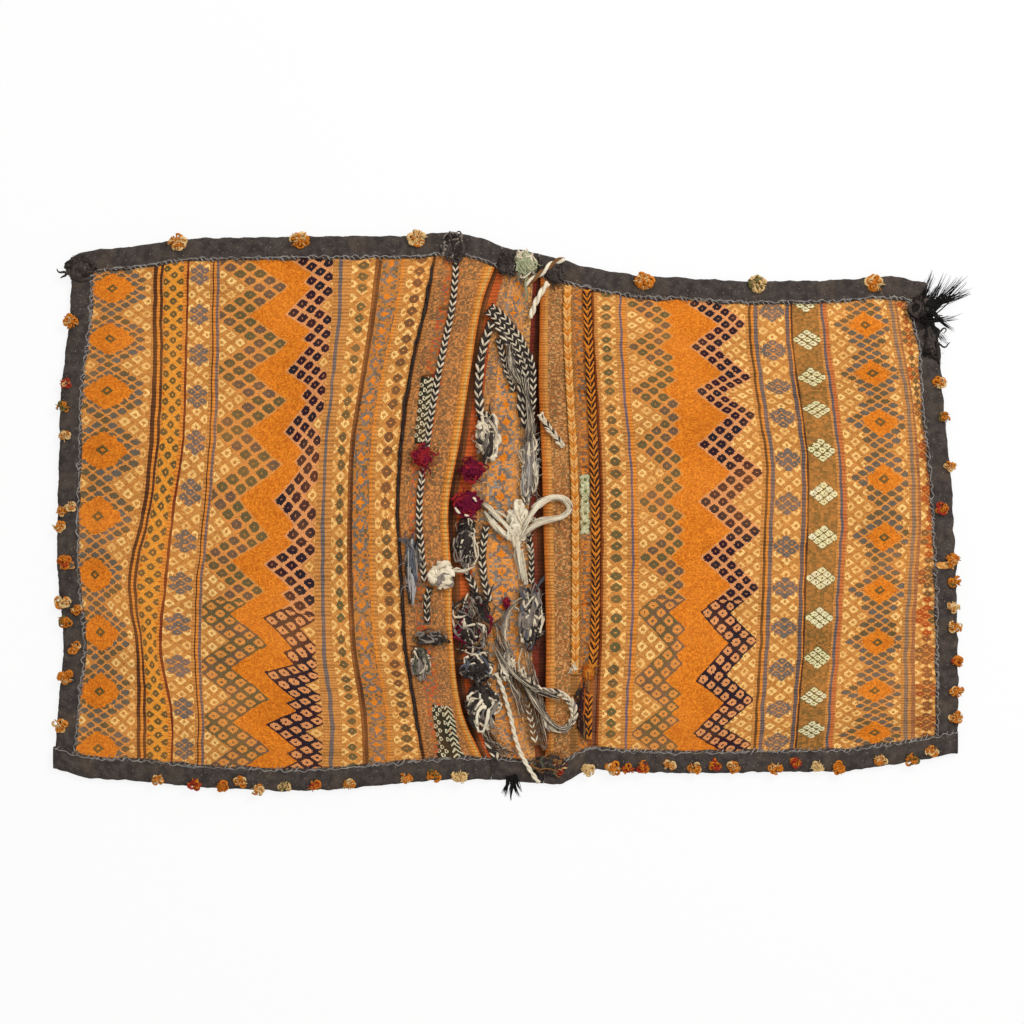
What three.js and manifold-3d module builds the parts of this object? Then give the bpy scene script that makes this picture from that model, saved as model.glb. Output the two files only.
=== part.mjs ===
// Knotted saddle bag: two flat-woven pouches joined by a bridge of cloth, lying flat.
// Millimetres. +X runs from the left pouch to the right one, +Y to the bag's upper edge, +Z up.
// The origin is on the underside, below the middle of the bridge.
import * as THREE from "three";
import { mergeVertices } from "three/addons/utils/BufferGeometryUtils.js";
import Module from "manifold-3d";

const wasm = await Module();
wasm.setup();

// Lengths along the bag
const bridgeWidth = 80;
const leftBorderWidth = 62;
const rightBorderWidth = 59;
const leftFieldLength = 387;
const rightFieldLength = 388;

// Width across the bag, from the lower edge to the upper one
const bagWidth = 590;

// Bends of the warp lines from the lower edge to the upper one
const bends = {
  leftEnd: [-8, -3, 3, -3, -4, -2, 0, 9, 11],
  leftSeam: [14, 3, -9, -13, -17, -13, -3, 14, 27],
  leftMouth: [22, -8, -18, -20, -23, -10, 1, 13, 34],
  rightMouth: [3, 3, 4, 3, 1, -1, -4, -3, -2],
  rightSeam: [-2, 0, 3, 4, 4, 3, -1, -5, -5],
  rightEnd: [9, 10, 9, 8, 5, 1, -6, -11, -25],
};

// Sag of the upper and lower edges from the left end to the right one
const topSag = [-21, -6, 2, 5, 6, 7, 7, 11, -5, -19, -33, -38, -42, -42, -41, -38, -57];
const bottomSag = [11, 0, -5, -10, -13, -11, -5, 0, -1, -4, 9, 7, 7, 8, 9, 17, 28];

// Cloths and felt
const clothThickness = 2.2;
const faceThickness = 2.8;
const feltThickness = 1.6;
const clearance = 0.3;

// Room inside a pouch, and the length of cloth over which the face climbs from the binding to it
const pouchRoom = 7;
const climbLength = 26;

// Binding: its width, the tuck of cloth inside its fold and the relief of its gathers
const bindingWidth = 25;
const foldTuck = 1.6;
const gatherRelief = 0.8;
const bindingMargin = 4;
const mouthOverhang = 1.5;
const cornerGap = 1.5;

// Woven figures: zigzag pitch along the warp, relief of stripes, figures and lozenges
const zigzagPitch = 68;
const stripeRelief = 0.8;
const figureRelief = 0.6;
const lozengeRelief = 1.2;
const ribWidth = 5;

// Woven bands of each face, as distances from the pouch's end, and the last ribs from its seam
const leftFaceBands = {
  lozengeColumn: 52, lozengeEdge: 78, ribs: [97, 154], zigzag: [219, 255], echo: 280, seamRibs: [89, 33],
};
const rightFaceBands = {
  outerBand: 47, lozengeColumn: 73, lozengeEdge: 99, ribs: [130, 168, 211], echo: 230, zigzag: [260, 300],
  seamRibs: [32],
};
const zigzagSway = 14;
const echoSway = 10;

// Closure borders: slits in a recessed strip, places as shares of the way up, and the rolled mouth edge
const slitLength = 14;
const slitWidth = 2.6;
const slitStrip = [11, 24];
const slitRecess = 0.5;
const slitBevel = 2;
const leftSlits = [0.33, 0.46, 0.6, 0.74, 0.86];
const rightSlits = [0.33, 0.48, 0.6, 0.75, 0.89];
const mouthRoll = [10, 6];
const mouthBead = 0.9;

// Sewn braids
const chevronBraidWidth = 10;
const peachBraidWidth = 9;
const twoToneBraidWidth = 11;
const braidThickness = 4;
const plaitPitch = 19;

// Free braids and cords: diameters
const wideBraid = 13;
const channelBraid = 10;
const lowBraid = 8;
const narrowBraid = 7;
const looseWool = 6;
const twistedCord = 5.5;

// Tufts and tassels
const largeTuft = 12;
const smallTuft = 8;
const tasselLength = 52;

// Colours
const colours = {
  orange: 0xc77724,
  tan: 0xb98a4e,
  felt: 0x3b3634,
  backCloth: 0x8a4a28,
  peach: 0xdca868,
  chevron: 0x8f8a80,
  cream: 0xded2bd,
  maroon: 0x7a1f3c,
  red: 0xa8323a,
  grey: 0x74757a,
  black: 0x1c1a1a,
  brown: 0x7c5a3c,
  green: 0xb9bd8c,
};

// Heights of the layers, from the underside up
const backRaised = feltThickness + clearance;
const faceLow = backRaised + clothThickness + clearance;
const faceHigh = clothThickness + pouchRoom;
const faceLowTop = faceLow + faceThickness;
const faceTop = faceHigh + faceThickness;
const bindingTop = faceLowTop + clearance + feltThickness;
const bridgeBindingTop = backRaised + clothThickness + clearance + feltThickness;
const inset = feltThickness + foldTuck;
const flatFrom = bindingWidth + bindingMargin;

// A smooth value between evenly spaced ones
function along(values, share) {
  const last = values.length - 1;
  const at = THREE.MathUtils.clamp(share, 0, 1) * last;
  const i = Math.min(Math.floor(at), last - 1);
  const t = at - i;
  const before = values[Math.max(i - 1, 0)];
  const after = values[Math.min(i + 2, last)];
  const start = (values[i + 1] - before) / 2;
  const end = (after - values[i]) / 2;
  const rise = values[i + 1] - values[i];
  return values[i] + t * start + t * t * (3 * rise - 2 * start - end) + t * t * t * (start + end - 2 * rise);
}

// Warp lines, each a straight line with its bends
const warp = (base, bend) => (share) => base + along(bend, share);
const leftEnd = warp(-bridgeWidth / 2 - leftBorderWidth - leftFieldLength, bends.leftEnd);
const leftSeam = warp(-bridgeWidth / 2 - leftBorderWidth, bends.leftSeam);
const leftMouth = warp(-bridgeWidth / 2, bends.leftMouth);
const rightMouth = warp(bridgeWidth / 2, bends.rightMouth);
const rightSeam = warp(bridgeWidth / 2 + rightBorderWidth, bends.rightSeam);
const rightEnd = warp(bridgeWidth / 2 + rightBorderWidth + rightFieldLength, bends.rightEnd);

// Upper and lower edges, each a straight line with its sag
const middle = 0.5;
const shareAlong = (x) => (x - leftEnd(middle)) / (rightEnd(middle) - leftEnd(middle));
const topEdge = (x) => bagWidth / 2 + along(topSag, shareAlong(x));
const bottomEdge = (x) => -bagWidth / 2 + along(bottomSag, shareAlong(x));

// Share of the way from the lower edge to the upper one
const shareUp = (x, y) => (y - bottomEdge(x)) / (topEdge(x) - bottomEdge(x));

// Places across the bag: fixed distances from both edges, then even steps between them
function rowsOf(margins, inner) {
  const low = margins.map((distance) => (x) => bottomEdge(x) + distance);
  const high = margins.map((distance) => (x) => topEdge(x) - distance).reverse();
  const last = margins[margins.length - 1];
  const even = Array.from({ length: inner - 1 }, (unused, i) => (x) => {
    const start = bottomEdge(x) + last;
    const end = topEdge(x) - last;
    return start + ((end - start) * (i + 1)) / inner;
  });
  return [...low, ...even, ...high];
}

// Heights of the face over its distance from the nearest bound edge
const climb = (distance) => THREE.MathUtils.clamp((distance - flatFrom) / climbLength, 0, 1);
const edgeDistance = (x, y) => Math.min(topEdge(x) - y, y - bottomEdge(x));

// Turns a body whose rule mirrored it, so that its faces point out
function faceOut(body) {
  const place = body.attributes.position;
  const index = body.index;
  const [a, b, c] = [new THREE.Vector3(), new THREE.Vector3(), new THREE.Vector3()];
  let volume = 0;
  for (let i = 0; i < index.count; i += 3) {
    a.fromBufferAttribute(place, index.getX(i));
    b.fromBufferAttribute(place, index.getX(i + 1));
    c.fromBufferAttribute(place, index.getX(i + 2));
    volume += a.dot(b.cross(c));
  }
  if (volume < 0) {
    index.array.reverse();
  }
}

// A closed body whose points are moved to their place by a rule
const sameVertex = 1e-4;

function mould(geometry, rule) {
  const bare = geometry.clone();
  bare.deleteAttribute("normal");
  bare.deleteAttribute("uv");
  const body = mergeVertices(bare, sameVertex);
  const place = body.attributes.position;
  for (let i = 0; i < place.count; i += 1) {
    place.setXYZ(i, ...rule(place.getX(i), place.getY(i), place.getZ(i)));
  }
  faceOut(body);
  body.computeVertexNormals();
  return body;
}

// A sheet of cloth: a block of columns and rows, with a rule for each point of its two faces
function sheet(columns, rows, rule) {
  const wide = columns.length - 1;
  const high = rows.length - 1;
  return mould(new THREE.BoxGeometry(wide, high, 1, wide, high, 1), (x, y, z) => {
    const column = Math.round(x + wide / 2);
    const row = Math.round(y + high / 2);
    return rule(columns[column], rows[row], row, z > 0);
  });
}

// Joining and cutting of closed bodies
function toSolid(geometry) {
  const solid = new wasm.Mesh({
    numProp: 3,
    vertProperties: Float32Array.from(geometry.attributes.position.array),
    triVerts: Uint32Array.from(geometry.index.array),
  });
  return new wasm.Manifold(solid);
}

function toGeometry(solid) {
  const mesh = solid.getMesh();
  const geometry = new THREE.BufferGeometry();
  geometry.setAttribute("position", new THREE.BufferAttribute(mesh.vertProperties, 3));
  geometry.setIndex(new THREE.BufferAttribute(mesh.triVerts, 1));
  geometry.computeVertexNormals();
  return geometry;
}

// Pieces
const bag = new THREE.Group();

function add(name, geometry, colour, roughness = 0.95) {
  const material = new THREE.MeshStandardMaterial({ color: colour, roughness, metalness: 0 });
  const mesh = new THREE.Mesh(geometry, material);
  mesh.name = name;
  bag.add(mesh);
  return mesh;
}

// Rows shared by the fronts and the borders, so that their seam edges match
const climbFrom = [inset, flatFrom, flatFrom + climbLength];
const fieldRows = rowsOf(climbFrom, 2 * Math.round((bagWidth - 2 * climbFrom[2]) / zigzagPitch));
const zigzag = (row) => (row % 2 ? 1 : -1);

// The point of a sheet that lies on a warp line and a row
function cross(line, row) {
  const guess = line(middle);
  const x = line(shareUp(guess, row(guess)));
  return [x, row(x)];
}

// Back cloth: flat on the ground, raised over the lower leg of the binding all round
function backCloth() {
  const spacing = 55;
  const steps = Math.round((rightEnd(middle) - leftEnd(middle)) / spacing);
  const even = Array.from({ length: steps - 1 }, (unused, i) => (share) => {
    const start = leftEnd(share) + climbFrom[2];
    const end = rightEnd(share) - climbFrom[2];
    return start + ((end - start) * (i + 1)) / steps;
  });
  const fromLeft = climbFrom.map((distance) => (share) => leftEnd(share) + distance);
  const fromRight = climbFrom.map((distance) => (share) => rightEnd(share) - distance).reverse();
  const rows = rowsOf(climbFrom, Math.round((bagWidth - 2 * climbFrom[2]) / spacing));
  return sheet([...fromLeft, ...even, ...fromRight], rows, (column, row, index, over) => {
    const [x, y] = cross(column, row);
    const share = shareUp(x, y);
    const distance = Math.min(edgeDistance(x, y), x - leftEnd(share), rightEnd(share) - x);
    return [x, y, backRaised * (1 - climb(distance)) + (over ? clothThickness : 0)];
  });
}

// Columns of a woven face, each with its distance, its relief, the sway of its zigzag and its lozenges
const plain = (at) => [{ at, relief: 0, sway: 0 }];
const stripe = (at) => [
  ...plain(at - ribWidth),
  { at, relief: stripeRelief, sway: 0 },
  ...plain(at + ribWidth),
];
const lozenges = (at) => [{ at, relief: 0, sway: 0, lozenge: lozengeRelief }];
const zigzagBand = (from, to) => [
  { at: from, relief: 0, sway: zigzagSway },
  { at: from + ribWidth / 2, relief: figureRelief, sway: zigzagSway },
  { at: to - ribWidth / 2, relief: figureRelief, sway: zigzagSway },
  { at: to, relief: 0, sway: zigzagSway },
];

// A woven face between two warp lines, raised where it leaves its bound edges
function face(columns, from, to, length, boundEnd) {
  const ordered = from(middle) < to(middle) ? columns : [...columns].reverse();
  return sheet(ordered, fieldRows, (column, row, index, over) => {
    const share = (column.at + column.sway * zigzag(index)) / length;
    const [x, y] = cross((up) => from(up) + (to(up) - from(up)) * share, row);
    const fromEnd = boundEnd ? Math.abs(x - boundEnd(shareUp(x, y))) : Infinity;
    const rise = climb(Math.min(edgeDistance(x, y), fromEnd));
    const relief = column.lozenge && index % 2 ? column.lozenge : column.relief;
    return [x, y, faceLow + (faceHigh - faceLow) * rise + (over ? faceThickness + relief * rise : 0)];
  });
}

const echo = (at) => [{ at, relief: figureRelief, sway: echoSway }];
const boundEdge = [...plain(inset), ...plain(flatFrom)];
const leftBands = [
  ...boundEdge,
  ...lozenges(leftFaceBands.lozengeColumn),
  ...plain(leftFaceBands.lozengeEdge),
  ...leftFaceBands.ribs.flatMap(stripe),
  ...zigzagBand(...leftFaceBands.zigzag),
  ...echo(leftFaceBands.echo),
  ...leftFaceBands.seamRibs.flatMap((fromSeam) => stripe(leftFieldLength - fromSeam)),
  ...plain(leftFieldLength - clearance / 2),
];
const rightBands = [
  ...boundEdge,
  ...plain(rightFaceBands.outerBand),
  ...lozenges(rightFaceBands.lozengeColumn),
  ...plain(rightFaceBands.lozengeEdge),
  ...rightFaceBands.ribs.flatMap(stripe),
  ...echo(rightFaceBands.echo),
  ...zigzagBand(...rightFaceBands.zigzag),
  ...rightFaceBands.seamRibs.flatMap((fromSeam) => stripe(rightFieldLength - fromSeam)),
  ...plain(rightFieldLength - clearance / 2),
];

// Closure borders: a seam strip, a recessed strip with slits, a plain strip and the rolled mouth edge
function borderColumns(width) {
  const level = (at, relief) => ({ at, relief, sway: 0 });
  return [
    level(clearance / 2, 0),
    level(slitStrip[0], 0),
    level(slitStrip[0] + slitBevel, -slitRecess),
    level(slitStrip[1] - slitBevel, -slitRecess),
    level(slitStrip[1], 0),
    level(width - mouthRoll[0], 0),
    level(width - mouthRoll[1], mouthBead),
    level(width, mouthBead / 2),
  ];
}

function border(seam, mouth, width, slitShares) {
  let solid = toSolid(face(borderColumns(width), seam, mouth, width));
  const strip = (slitStrip[0] + slitStrip[1]) / 2 / width;
  const through = 4 * faceTop;
  for (const share of slitShares) {
    const x = seam(share) + (mouth(share) - seam(share)) * strip;
    const y = bottomEdge(x) + share * (topEdge(x) - bottomEdge(x));
    const slit = new THREE.BoxGeometry(slitLength, slitWidth, through);
    solid = solid.subtract(toSolid(mould(slit, (px, py, pz) => [px + x, py + y, pz])));
  }
  return toGeometry(solid);
}

// Binding: felt folded round the cloths, drawn as a section and led along an edge
const foldBend = 1.5;
const gatherPitch = 33;
const gathersIn = (length) => Math.max(2, Math.round(Math.abs(length) / gatherPitch));

function bindingSection(top) {
  const wall = feltThickness;
  return new THREE.Shape([
    [bindingWidth, 0], [bindingWidth, wall], [wall, wall], [wall, top - wall], [bindingWidth, top - wall],
    [bindingWidth, top], [foldBend, top], [0, top - foldBend], [0, foldBend], [foldBend, 0],
  ].map(([x, y]) => new THREE.Vector2(x, y)));
}

// Gathers: every other place along a binding its upper leg is a little higher and shorter
function gathered(inward, z, index, top) {
  const upper = z > top - feltThickness / 2 ? 1 : 0;
  const full = index % 2 ? 1 : 0;
  const lift = gatherRelief * full * upper;
  const shorter = inward > bindingWidth / 2 && z > top / 2 ? gatherRelief * (1 - full) : 0;
  return [inward - shorter, z + lift];
}

function edgeBinding(edge, inwardSign, start, end, top) {
  const steps = gathersIn(end - start);
  const strip = new THREE.ExtrudeGeometry(bindingSection(top), { depth: steps, steps, bevelEnabled: false });
  return mould(strip, (sx, sy, n) => {
    const index = Math.round(n);
    const x = start + ((end - start) * index) / steps;
    const [inward, z] = gathered(sx, sy, index, top);
    return [x, edge(x) + inwardSign * inward, z];
  });
}

// An end binding runs between the upper and lower ones and meets them with a small gap
const seat = bindingWidth + cornerGap;

function endBinding(end, inwardSign) {
  const steps = gathersIn(bagWidth - 2 * seat);
  const section = bindingSection(bindingTop);
  const strip = new THREE.ExtrudeGeometry(section, { depth: steps, steps, bevelEnabled: false });
  return mould(strip, (sx, sy, n) => {
    const index = Math.round(n);
    const [inward, z] = gathered(sx, sy, index, bindingTop);
    const row = (x) => {
      const low = bottomEdge(x) + seat;
      return low + ((topEdge(x) - seat - low) * index) / steps;
    };
    return [...cross((share) => end(share) + inwardSign * inward, row), z];
  });
}

// The smallest tufts are one with the binding that they are sewn to: short pyramids on its upper leg
const tuftSides = 5;
const tuftTip = 0.4;
const tuftRoot = 0.7;

function withTufts(geometry, places) {
  const middleHeight = bindingTop + smallTuft / 2 - feltThickness * tuftRoot;
  let solid = toSolid(geometry);
  for (const [x, y] of places) {
    const tuft = new THREE.CylinderGeometry(smallTuft * tuftTip, smallTuft, smallTuft, tuftSides, 1);
    tuft.rotateX(Math.PI / 2);
    const placed = mould(tuft, (px, py, pz) => [px + x, py + y, pz + middleHeight]);
    solid = solid.add(toSolid(placed));
  }
  return toGeometry(solid);
}

// A plaited braid sewn along a warp line of a border, with a bulge at every crossing
const waist = 0.82;

function sewnBraid(line, width, from, to) {
  const margins = [bindingWidth + foldTuck, flatFrom, flatFrom + climbLength];
  const plaits = Math.round((bagWidth - 2 * margins[2]) / plaitPitch);
  const kept = rowsOf(margins, plaits).filter((row) => {
    const share = shareUp(line(middle), row(line(middle)));
    return share >= from && share <= to;
  });
  const steps = kept.length - 1;
  const section = new THREE.Shape([
    [-0.5, 0.35], [-0.3, 0], [0.3, 0], [0.5, 0.35], [0.25, 1], [-0.25, 1],
  ].map(([x, y]) => new THREE.Vector2(x, y)));
  const strip = new THREE.ExtrudeGeometry(section, { depth: steps, steps, bevelEnabled: false });
  return mould(strip, (sx, sy, n) => {
    const index = Math.round(n);
    const bulge = index % 2 ? 1 : waist;
    const [x, y] = cross(line, kept[index]);
    const rise = climb(edgeDistance(x, y));
    const height = faceLowTop + (faceTop - faceLowTop) * rise + clearance;
    return [x - sx * width * bulge, y, height + sy * braidThickness * bulge];
  });
}

// A free braid or cord along the points that it lies through
const cordSides = 8;

function cord(diameter, points) {
  const path = new THREE.CatmullRomCurve3(points.map((point) => new THREE.Vector3(...point)));
  const corners = Array.from({ length: cordSides }, (unused, i) => {
    const turn = (2 * Math.PI * i) / cordSides;
    return new THREE.Vector2(Math.cos(turn), Math.sin(turn)).multiplyScalar(diameter / 2);
  });
  const steps = Math.max(points.length - 1, Math.round(path.getLength() / (2 * diameter)));
  const tube = new THREE.ExtrudeGeometry(new THREE.Shape(corners), { steps, extrudePath: path });
  return mould(tube, (x, y, z) => [x, y, z]);
}

// Lets a body down until its lowest point is at a height
function settle(body, height) {
  body.computeBoundingBox();
  return body.translate(0, 0, height - body.boundingBox.min.z);
}

// A knot of braid or rag: a trefoil drawn to its half sizes, lying on what carries it
function knot([x, y], [halfX, halfY, halfZ], height, turn) {
  const ring = 10;
  const strand = 3.4;
  const reach = 1.5 * ring + strand;
  const rise = ring / 2 + strand;
  const tied = new THREE.TorusKnotGeometry(ring, strand, 19, 5, 2, 3).rotateZ(turn);
  const shaped = mould(tied, (px, py, pz) => [
    x + (px * halfX) / reach,
    y + (py * halfY) / reach,
    (pz * halfZ) / rise,
  ]);
  return settle(shaped, height);
}

// A lump of wool with a wavy surface
const waviness = 0.07;

function lump([x, y], [halfX, halfY, halfZ], height, detail = 1) {
  const shaped = mould(new THREE.IcosahedronGeometry(1, detail), (px, py, pz) => {
    const wave = 1 - waviness * (1 + Math.sin(5 * px + 3 * py));
    return [x + px * halfX * wave, y + py * halfY * wave, pz * halfZ * wave];
  });
  return settle(shaped, height);
}

// A flat fan of hair locks from a root, drooping towards the ground
const notchShare = 0.27;
const droopFrom = 0.4;
const lockTaper = 0.6;

function hairFan([x, y], { root, thickness, floor }, locks, height) {
  const outline = [new THREE.Vector2(-root / 2, 0), new THREE.Vector2(root / 2, 0)];
  const spread = locks.map(([angle, length]) => {
    return new THREE.Vector2(Math.cos(angle), Math.sin(angle)).multiplyScalar(length);
  });
  spread.forEach((tip, i) => {
    outline.push(tip);
    if (i < spread.length - 1) {
      outline.push(tip.clone().add(spread[i + 1]).multiplyScalar(notchShare));
    }
  });
  const fan = new THREE.ExtrudeGeometry(new THREE.Shape(outline), { depth: thickness, bevelEnabled: false });
  const longest = Math.max(...locks.map((lock) => lock[1]));
  return mould(fan, (px, py, pz) => {
    const out = Math.hypot(px, py) / longest;
    const droop = Math.max(0, (out - droopFrom) / (1 - droopFrom)) ** 2;
    return [px + x, py + y, height - (height - floor) * droop + pz * (1 - lockTaper * out)];
  });
}

// Cloths
add("back_cloth", backCloth(), colours.backCloth);
add("left_pouch_front", face(leftBands, leftEnd, leftSeam, leftFieldLength, leftEnd), colours.orange);
add("right_pouch_front", face(rightBands, rightEnd, rightSeam, rightFieldLength, rightEnd), colours.orange);
add("left_closure_border", border(leftSeam, leftMouth, leftBorderWidth, leftSlits), colours.tan);
add("right_closure_border", border(rightSeam, rightMouth, rightBorderWidth, rightSlits), colours.tan);

// Bindings, with the small tufts of the ends and the lower edge sewn in
const up = 1;
const down = 0;
const leftTopMouth = leftMouth(up) + mouthOverhang;
const leftBottomMouth = leftMouth(down) + mouthOverhang;
const rightTopMouth = rightMouth(up) - mouthOverhang;
const rightBottomMouth = rightMouth(down) - mouthOverhang;
const tuftInward = 4;
const leftTopSpan = [leftEnd(up), leftTopMouth];
const rightTopSpan = [rightTopMouth, rightEnd(up)];
const leftBottomSpan = [leftBottomMouth, leftEnd(down)];
const rightBottomSpan = [rightEnd(down), rightBottomMouth];
const onEdge = (edge, inwardSign, [start, end]) => (share) => {
  const x = start + (end - start) * share;
  return [x, edge(x) + inwardSign * tuftInward];
};
const onLeftTop = onEdge(topEdge, -1, leftTopSpan);
const onRightTop = onEdge(topEdge, -1, rightTopSpan);
const onLeftBottom = onEdge(bottomEdge, 1, leftBottomSpan);
const onRightBottom = onEdge(bottomEdge, 1, rightBottomSpan);
const onEnd = (end, inwardSign) => (share) => cross((at) => end(at) + inwardSign * tuftInward, (x) => {
  return bottomEdge(x) + share * (topEdge(x) - bottomEdge(x));
});
const onLeftEnd = onEnd(leftEnd, 1);
const onRightEnd = onEnd(rightEnd, -1);

const leftEndBinding = withTufts(endBinding(leftEnd, 1), [0.22, 0.34, 0.72, 0.86].map(onLeftEnd));
const rightEndBinding = withTufts(endBinding(rightEnd, -1), [0.14, 0.27, 0.46, 0.84].map(onRightEnd));
const leftBottomBinding = edgeBinding(bottomEdge, 1, ...leftBottomSpan, bindingTop);
const rightBottomBinding = edgeBinding(bottomEdge, 1, ...rightBottomSpan, bindingTop);
add("left_end_binding", leftEndBinding, colours.felt);
add("right_end_binding", rightEndBinding, colours.felt);
add("left_top_binding", edgeBinding(topEdge, -1, ...leftTopSpan, bindingTop), colours.felt);
add("right_top_binding", edgeBinding(topEdge, -1, ...rightTopSpan, bindingTop), colours.felt);
const leftBottomTufts = [0.68, 0.535, 0.204].map(onLeftBottom);
const rightBottomTufts = [0.699, 0.524, 0.262].map(onRightBottom);
add("left_bottom_binding", withTufts(leftBottomBinding, leftBottomTufts), colours.felt);
add("right_bottom_binding", withTufts(rightBottomBinding, rightBottomTufts), colours.felt);
const bridgeTopEnds = [leftTopMouth + clearance, rightTopMouth - clearance];
const bridgeBottomEnds = [rightBottomMouth - clearance, leftBottomMouth + clearance];
const bridgeTop = edgeBinding(topEdge, -1, ...bridgeTopEnds, bridgeBindingTop);
const bridgeBottom = edgeBinding(bottomEdge, 1, ...bridgeBottomEnds, bridgeBindingTop);
add("bridge_top_binding", bridgeTop, colours.felt);
add("bridge_bottom_binding", bridgeBottom, colours.felt);

// Braids sewn on the borders
const chevronSeat = 27;
const twoToneSeat = 6.3;
const peachSeat = 27;
const between = (from, to, at, width) => (share) => from(share) + ((to(share) - from(share)) * at) / width;
const chevronLine = between(leftSeam, leftMouth, chevronSeat, leftBorderWidth);
const peachLine = between(rightSeam, rightMouth, peachSeat, rightBorderWidth);
const twoToneLine = between(rightSeam, rightMouth, twoToneSeat, rightBorderWidth);
add("left_chevron_braid", sewnBraid(chevronLine, chevronBraidWidth, 0.36, 1), colours.chevron);
add("right_peach_braid", sewnBraid(peachLine, peachBraidWidth, 0.2, 1), colours.peach);
add("right_two_tone_braid", sewnBraid(twoToneLine, twoToneBraidWidth, 0.2, 1), colours.orange);
add("right_two_tone_stub", sewnBraid(twoToneLine, twoToneBraidWidth, 0, 0.15), colours.orange);

// Heights of what lies on the bridge, on the borders and on the bindings
const onBridge = clothThickness + clearance;
const onBorder = faceTop + clearance;
const onMouthRoll = faceTop + mouthBead + clearance;
const onBraid = faceTop + clearance + braidThickness + clearance;
const onBinding = bindingTop + gatherRelief + clearance;
const onBridgeBinding = bridgeBindingTop + gatherRelief + clearance;

// Height on the gathers of a binding, at a share of its length
function onGathers(share, length) {
  const turn = (share * gathersIn(length)) % 2;
  return bindingTop + gatherRelief * (1 - Math.abs(turn - 1)) + clearance;
}

// Free braids and cords of the bridge, each through the middle of its thickness
const lie = (diameter) => onBridge + diameter / 2;
const cords = {
  upper_chevron_braid: [wideBraid, colours.chevron, [
    [-19, 222], [-7, 212], [7, 195], [18, 177], [25, 157], [26, 135], [25, 117], [24, 95], [26, 73], [26, 51],
    [23, 29], [19, 16],
  ].map(([x, y]) => [x, y, lie(wideBraid)])],
  upper_inner_strand: [narrowBraid, colours.chevron, [
    [-9, 189], [-4, 173], [0, 158], [5, 145], [9, 131],
  ].map(([x, y]) => [x, y, lie(narrowBraid)])],
  channel_braid: [channelBraid, colours.chevron, [
    [-16, 208], [-22, 190], [-27, 170], [-29, 151], [-30, 131], [-29, 113], [-26, 100],
  ].map(([x, y]) => [x, y, lie(channelBraid)])],
  upper_braid_tail: [narrowBraid, colours.chevron, [
    [37, 106, 17], [45, 94, 17], [54, 82, 16.5], [63, 70, 16.5],
  ]],
  lower_left_braid: [lowBraid, colours.chevron, [
    [-37, -12], [-44, -30], [-47, -45], [-45, -63], [-37, -80], [-32, -96],
  ].map(([x, y]) => [x, y, lie(lowBraid)])],
  lower_right_braid: [lowBraid, colours.chevron, [
    [-22, -16], [-24, -32], [-26, -50], [-25, -67], [-22, -85], [-18, -100],
  ].map(([x, y]) => [x, y, lie(lowBraid)])],
  wool_bow_loop: [looseWool, colours.cream, [
    [28, 4, 15], [36, 10, 17], [48, 14, 17], [62, 13, 16.6], [69, 4, 16.6], [63, -5, 16.6], [48, -8, 17],
    [36, -9, 17], [28, -12, 15],
  ]],
  wool_bow_tail: [looseWool, colours.cream, [
    [2, -30], [-7, -21], [-16, -10], [-24, 0],
  ].map(([x, y]) => [x, y, lie(looseWool)])],
  bow_plait: [looseWool, colours.cream, [
    [16, -43], [18, -54], [20, -67], [22, -81],
  ].map(([x, y]) => [x, y, lie(looseWool)])],
  wool_side_loop: [narrowBraid, colours.cream, [
    [8, -104], [1, -113], [-2, -127], [-2, -142], [2, -154], [9, -165],
  ].map(([x, y]) => [x, y, lie(narrowBraid)])],
  lower_loop: [lowBraid, colours.chevron, [
    [16, -174, 7], [22, -182, 9], [29, -190, 13.5], [37, -196, 17.5], [51, -198, 17.5],
    [64, -202, 17.3], [73, -215, 17.3], [73, -229, 17.3], [64, -239, 17.3], [52, -238, 17.5],
    [45, -230, 17.5], [42, -221, 17.5],
  ]],
  cream_cord: [twistedCord, colours.cream, [
    [-11, -178, 5.4], [-4, -195, 5.4], [1, -212, 5.4], [6, -230, 5.6], [10, -248, 8], [16, -265, 11.5],
    [24, -280, 11.5], [31, -291, 11.5], [36, -298, 11.2],
  ]],
  brown_braid: [lowBraid, colours.brown, [
    [23, -210, 6.6], [27, -226, 7], [30, -242, 9], [34, -257, 12],
  ]],
  top_twisted_loop: [narrowBraid, colours.cream, [
    [20, 248, 9], [31, 255, 12.5], [43, 264, 14.5], [52, 272, 14], [64, 276, 13.8],
  ]],
  top_strand: [narrowBraid, colours.cream, [
    [46, 250, 13.8], [39, 240, 14.7], [32, 227, 13.8], [27, 212, 9.5],
  ]],
};
for (const [name, [diameter, colour, points]] of Object.entries(cords)) {
  add(name, cord(diameter, points), colour);
}

// Knots of braid and rag, and lumps of wool: half sizes, and places as shares across their cloth and up it
const placeOn = (from, to) => ([across, share]) => cross(
  (at) => from(at) + (to(at) - from(at)) * across,
  (x) => bottomEdge(x) + share * (topEdge(x) - bottomEdge(x)),
);
const bridgeAt = placeOn(leftMouth, rightMouth);
const leftBorderAt = placeOn(leftSeam, leftMouth);
const knots = {
  braid_knot: [bridgeAt([0.33, 0.635]), [14, 17, 8], onBridge, 0, colours.chevron],
  white_rag_knot: [leftBorderAt([0.82, 0.374]), [16, 15, 7], onMouthRoll, 0.5, colours.cream],
  upper_maroon_knot: [bridgeAt([0.22, 0.571]), [12, 13, 7], onBridge, 1, colours.maroon],
  lower_maroon_knot: [bridgeAt([0.21, 0.507]), [14, 15, 7], onBridge, 0.4, colours.maroon],
  upper_rag_bundle: [bridgeAt([0.25, 0.207]), [16, 16, 9], onBridge, 0.7, colours.grey],
  lower_rag_bundle: [bridgeAt([0.28, 0.141]), [18, 21, 10], onBridge, 0, colours.grey],
};
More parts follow.
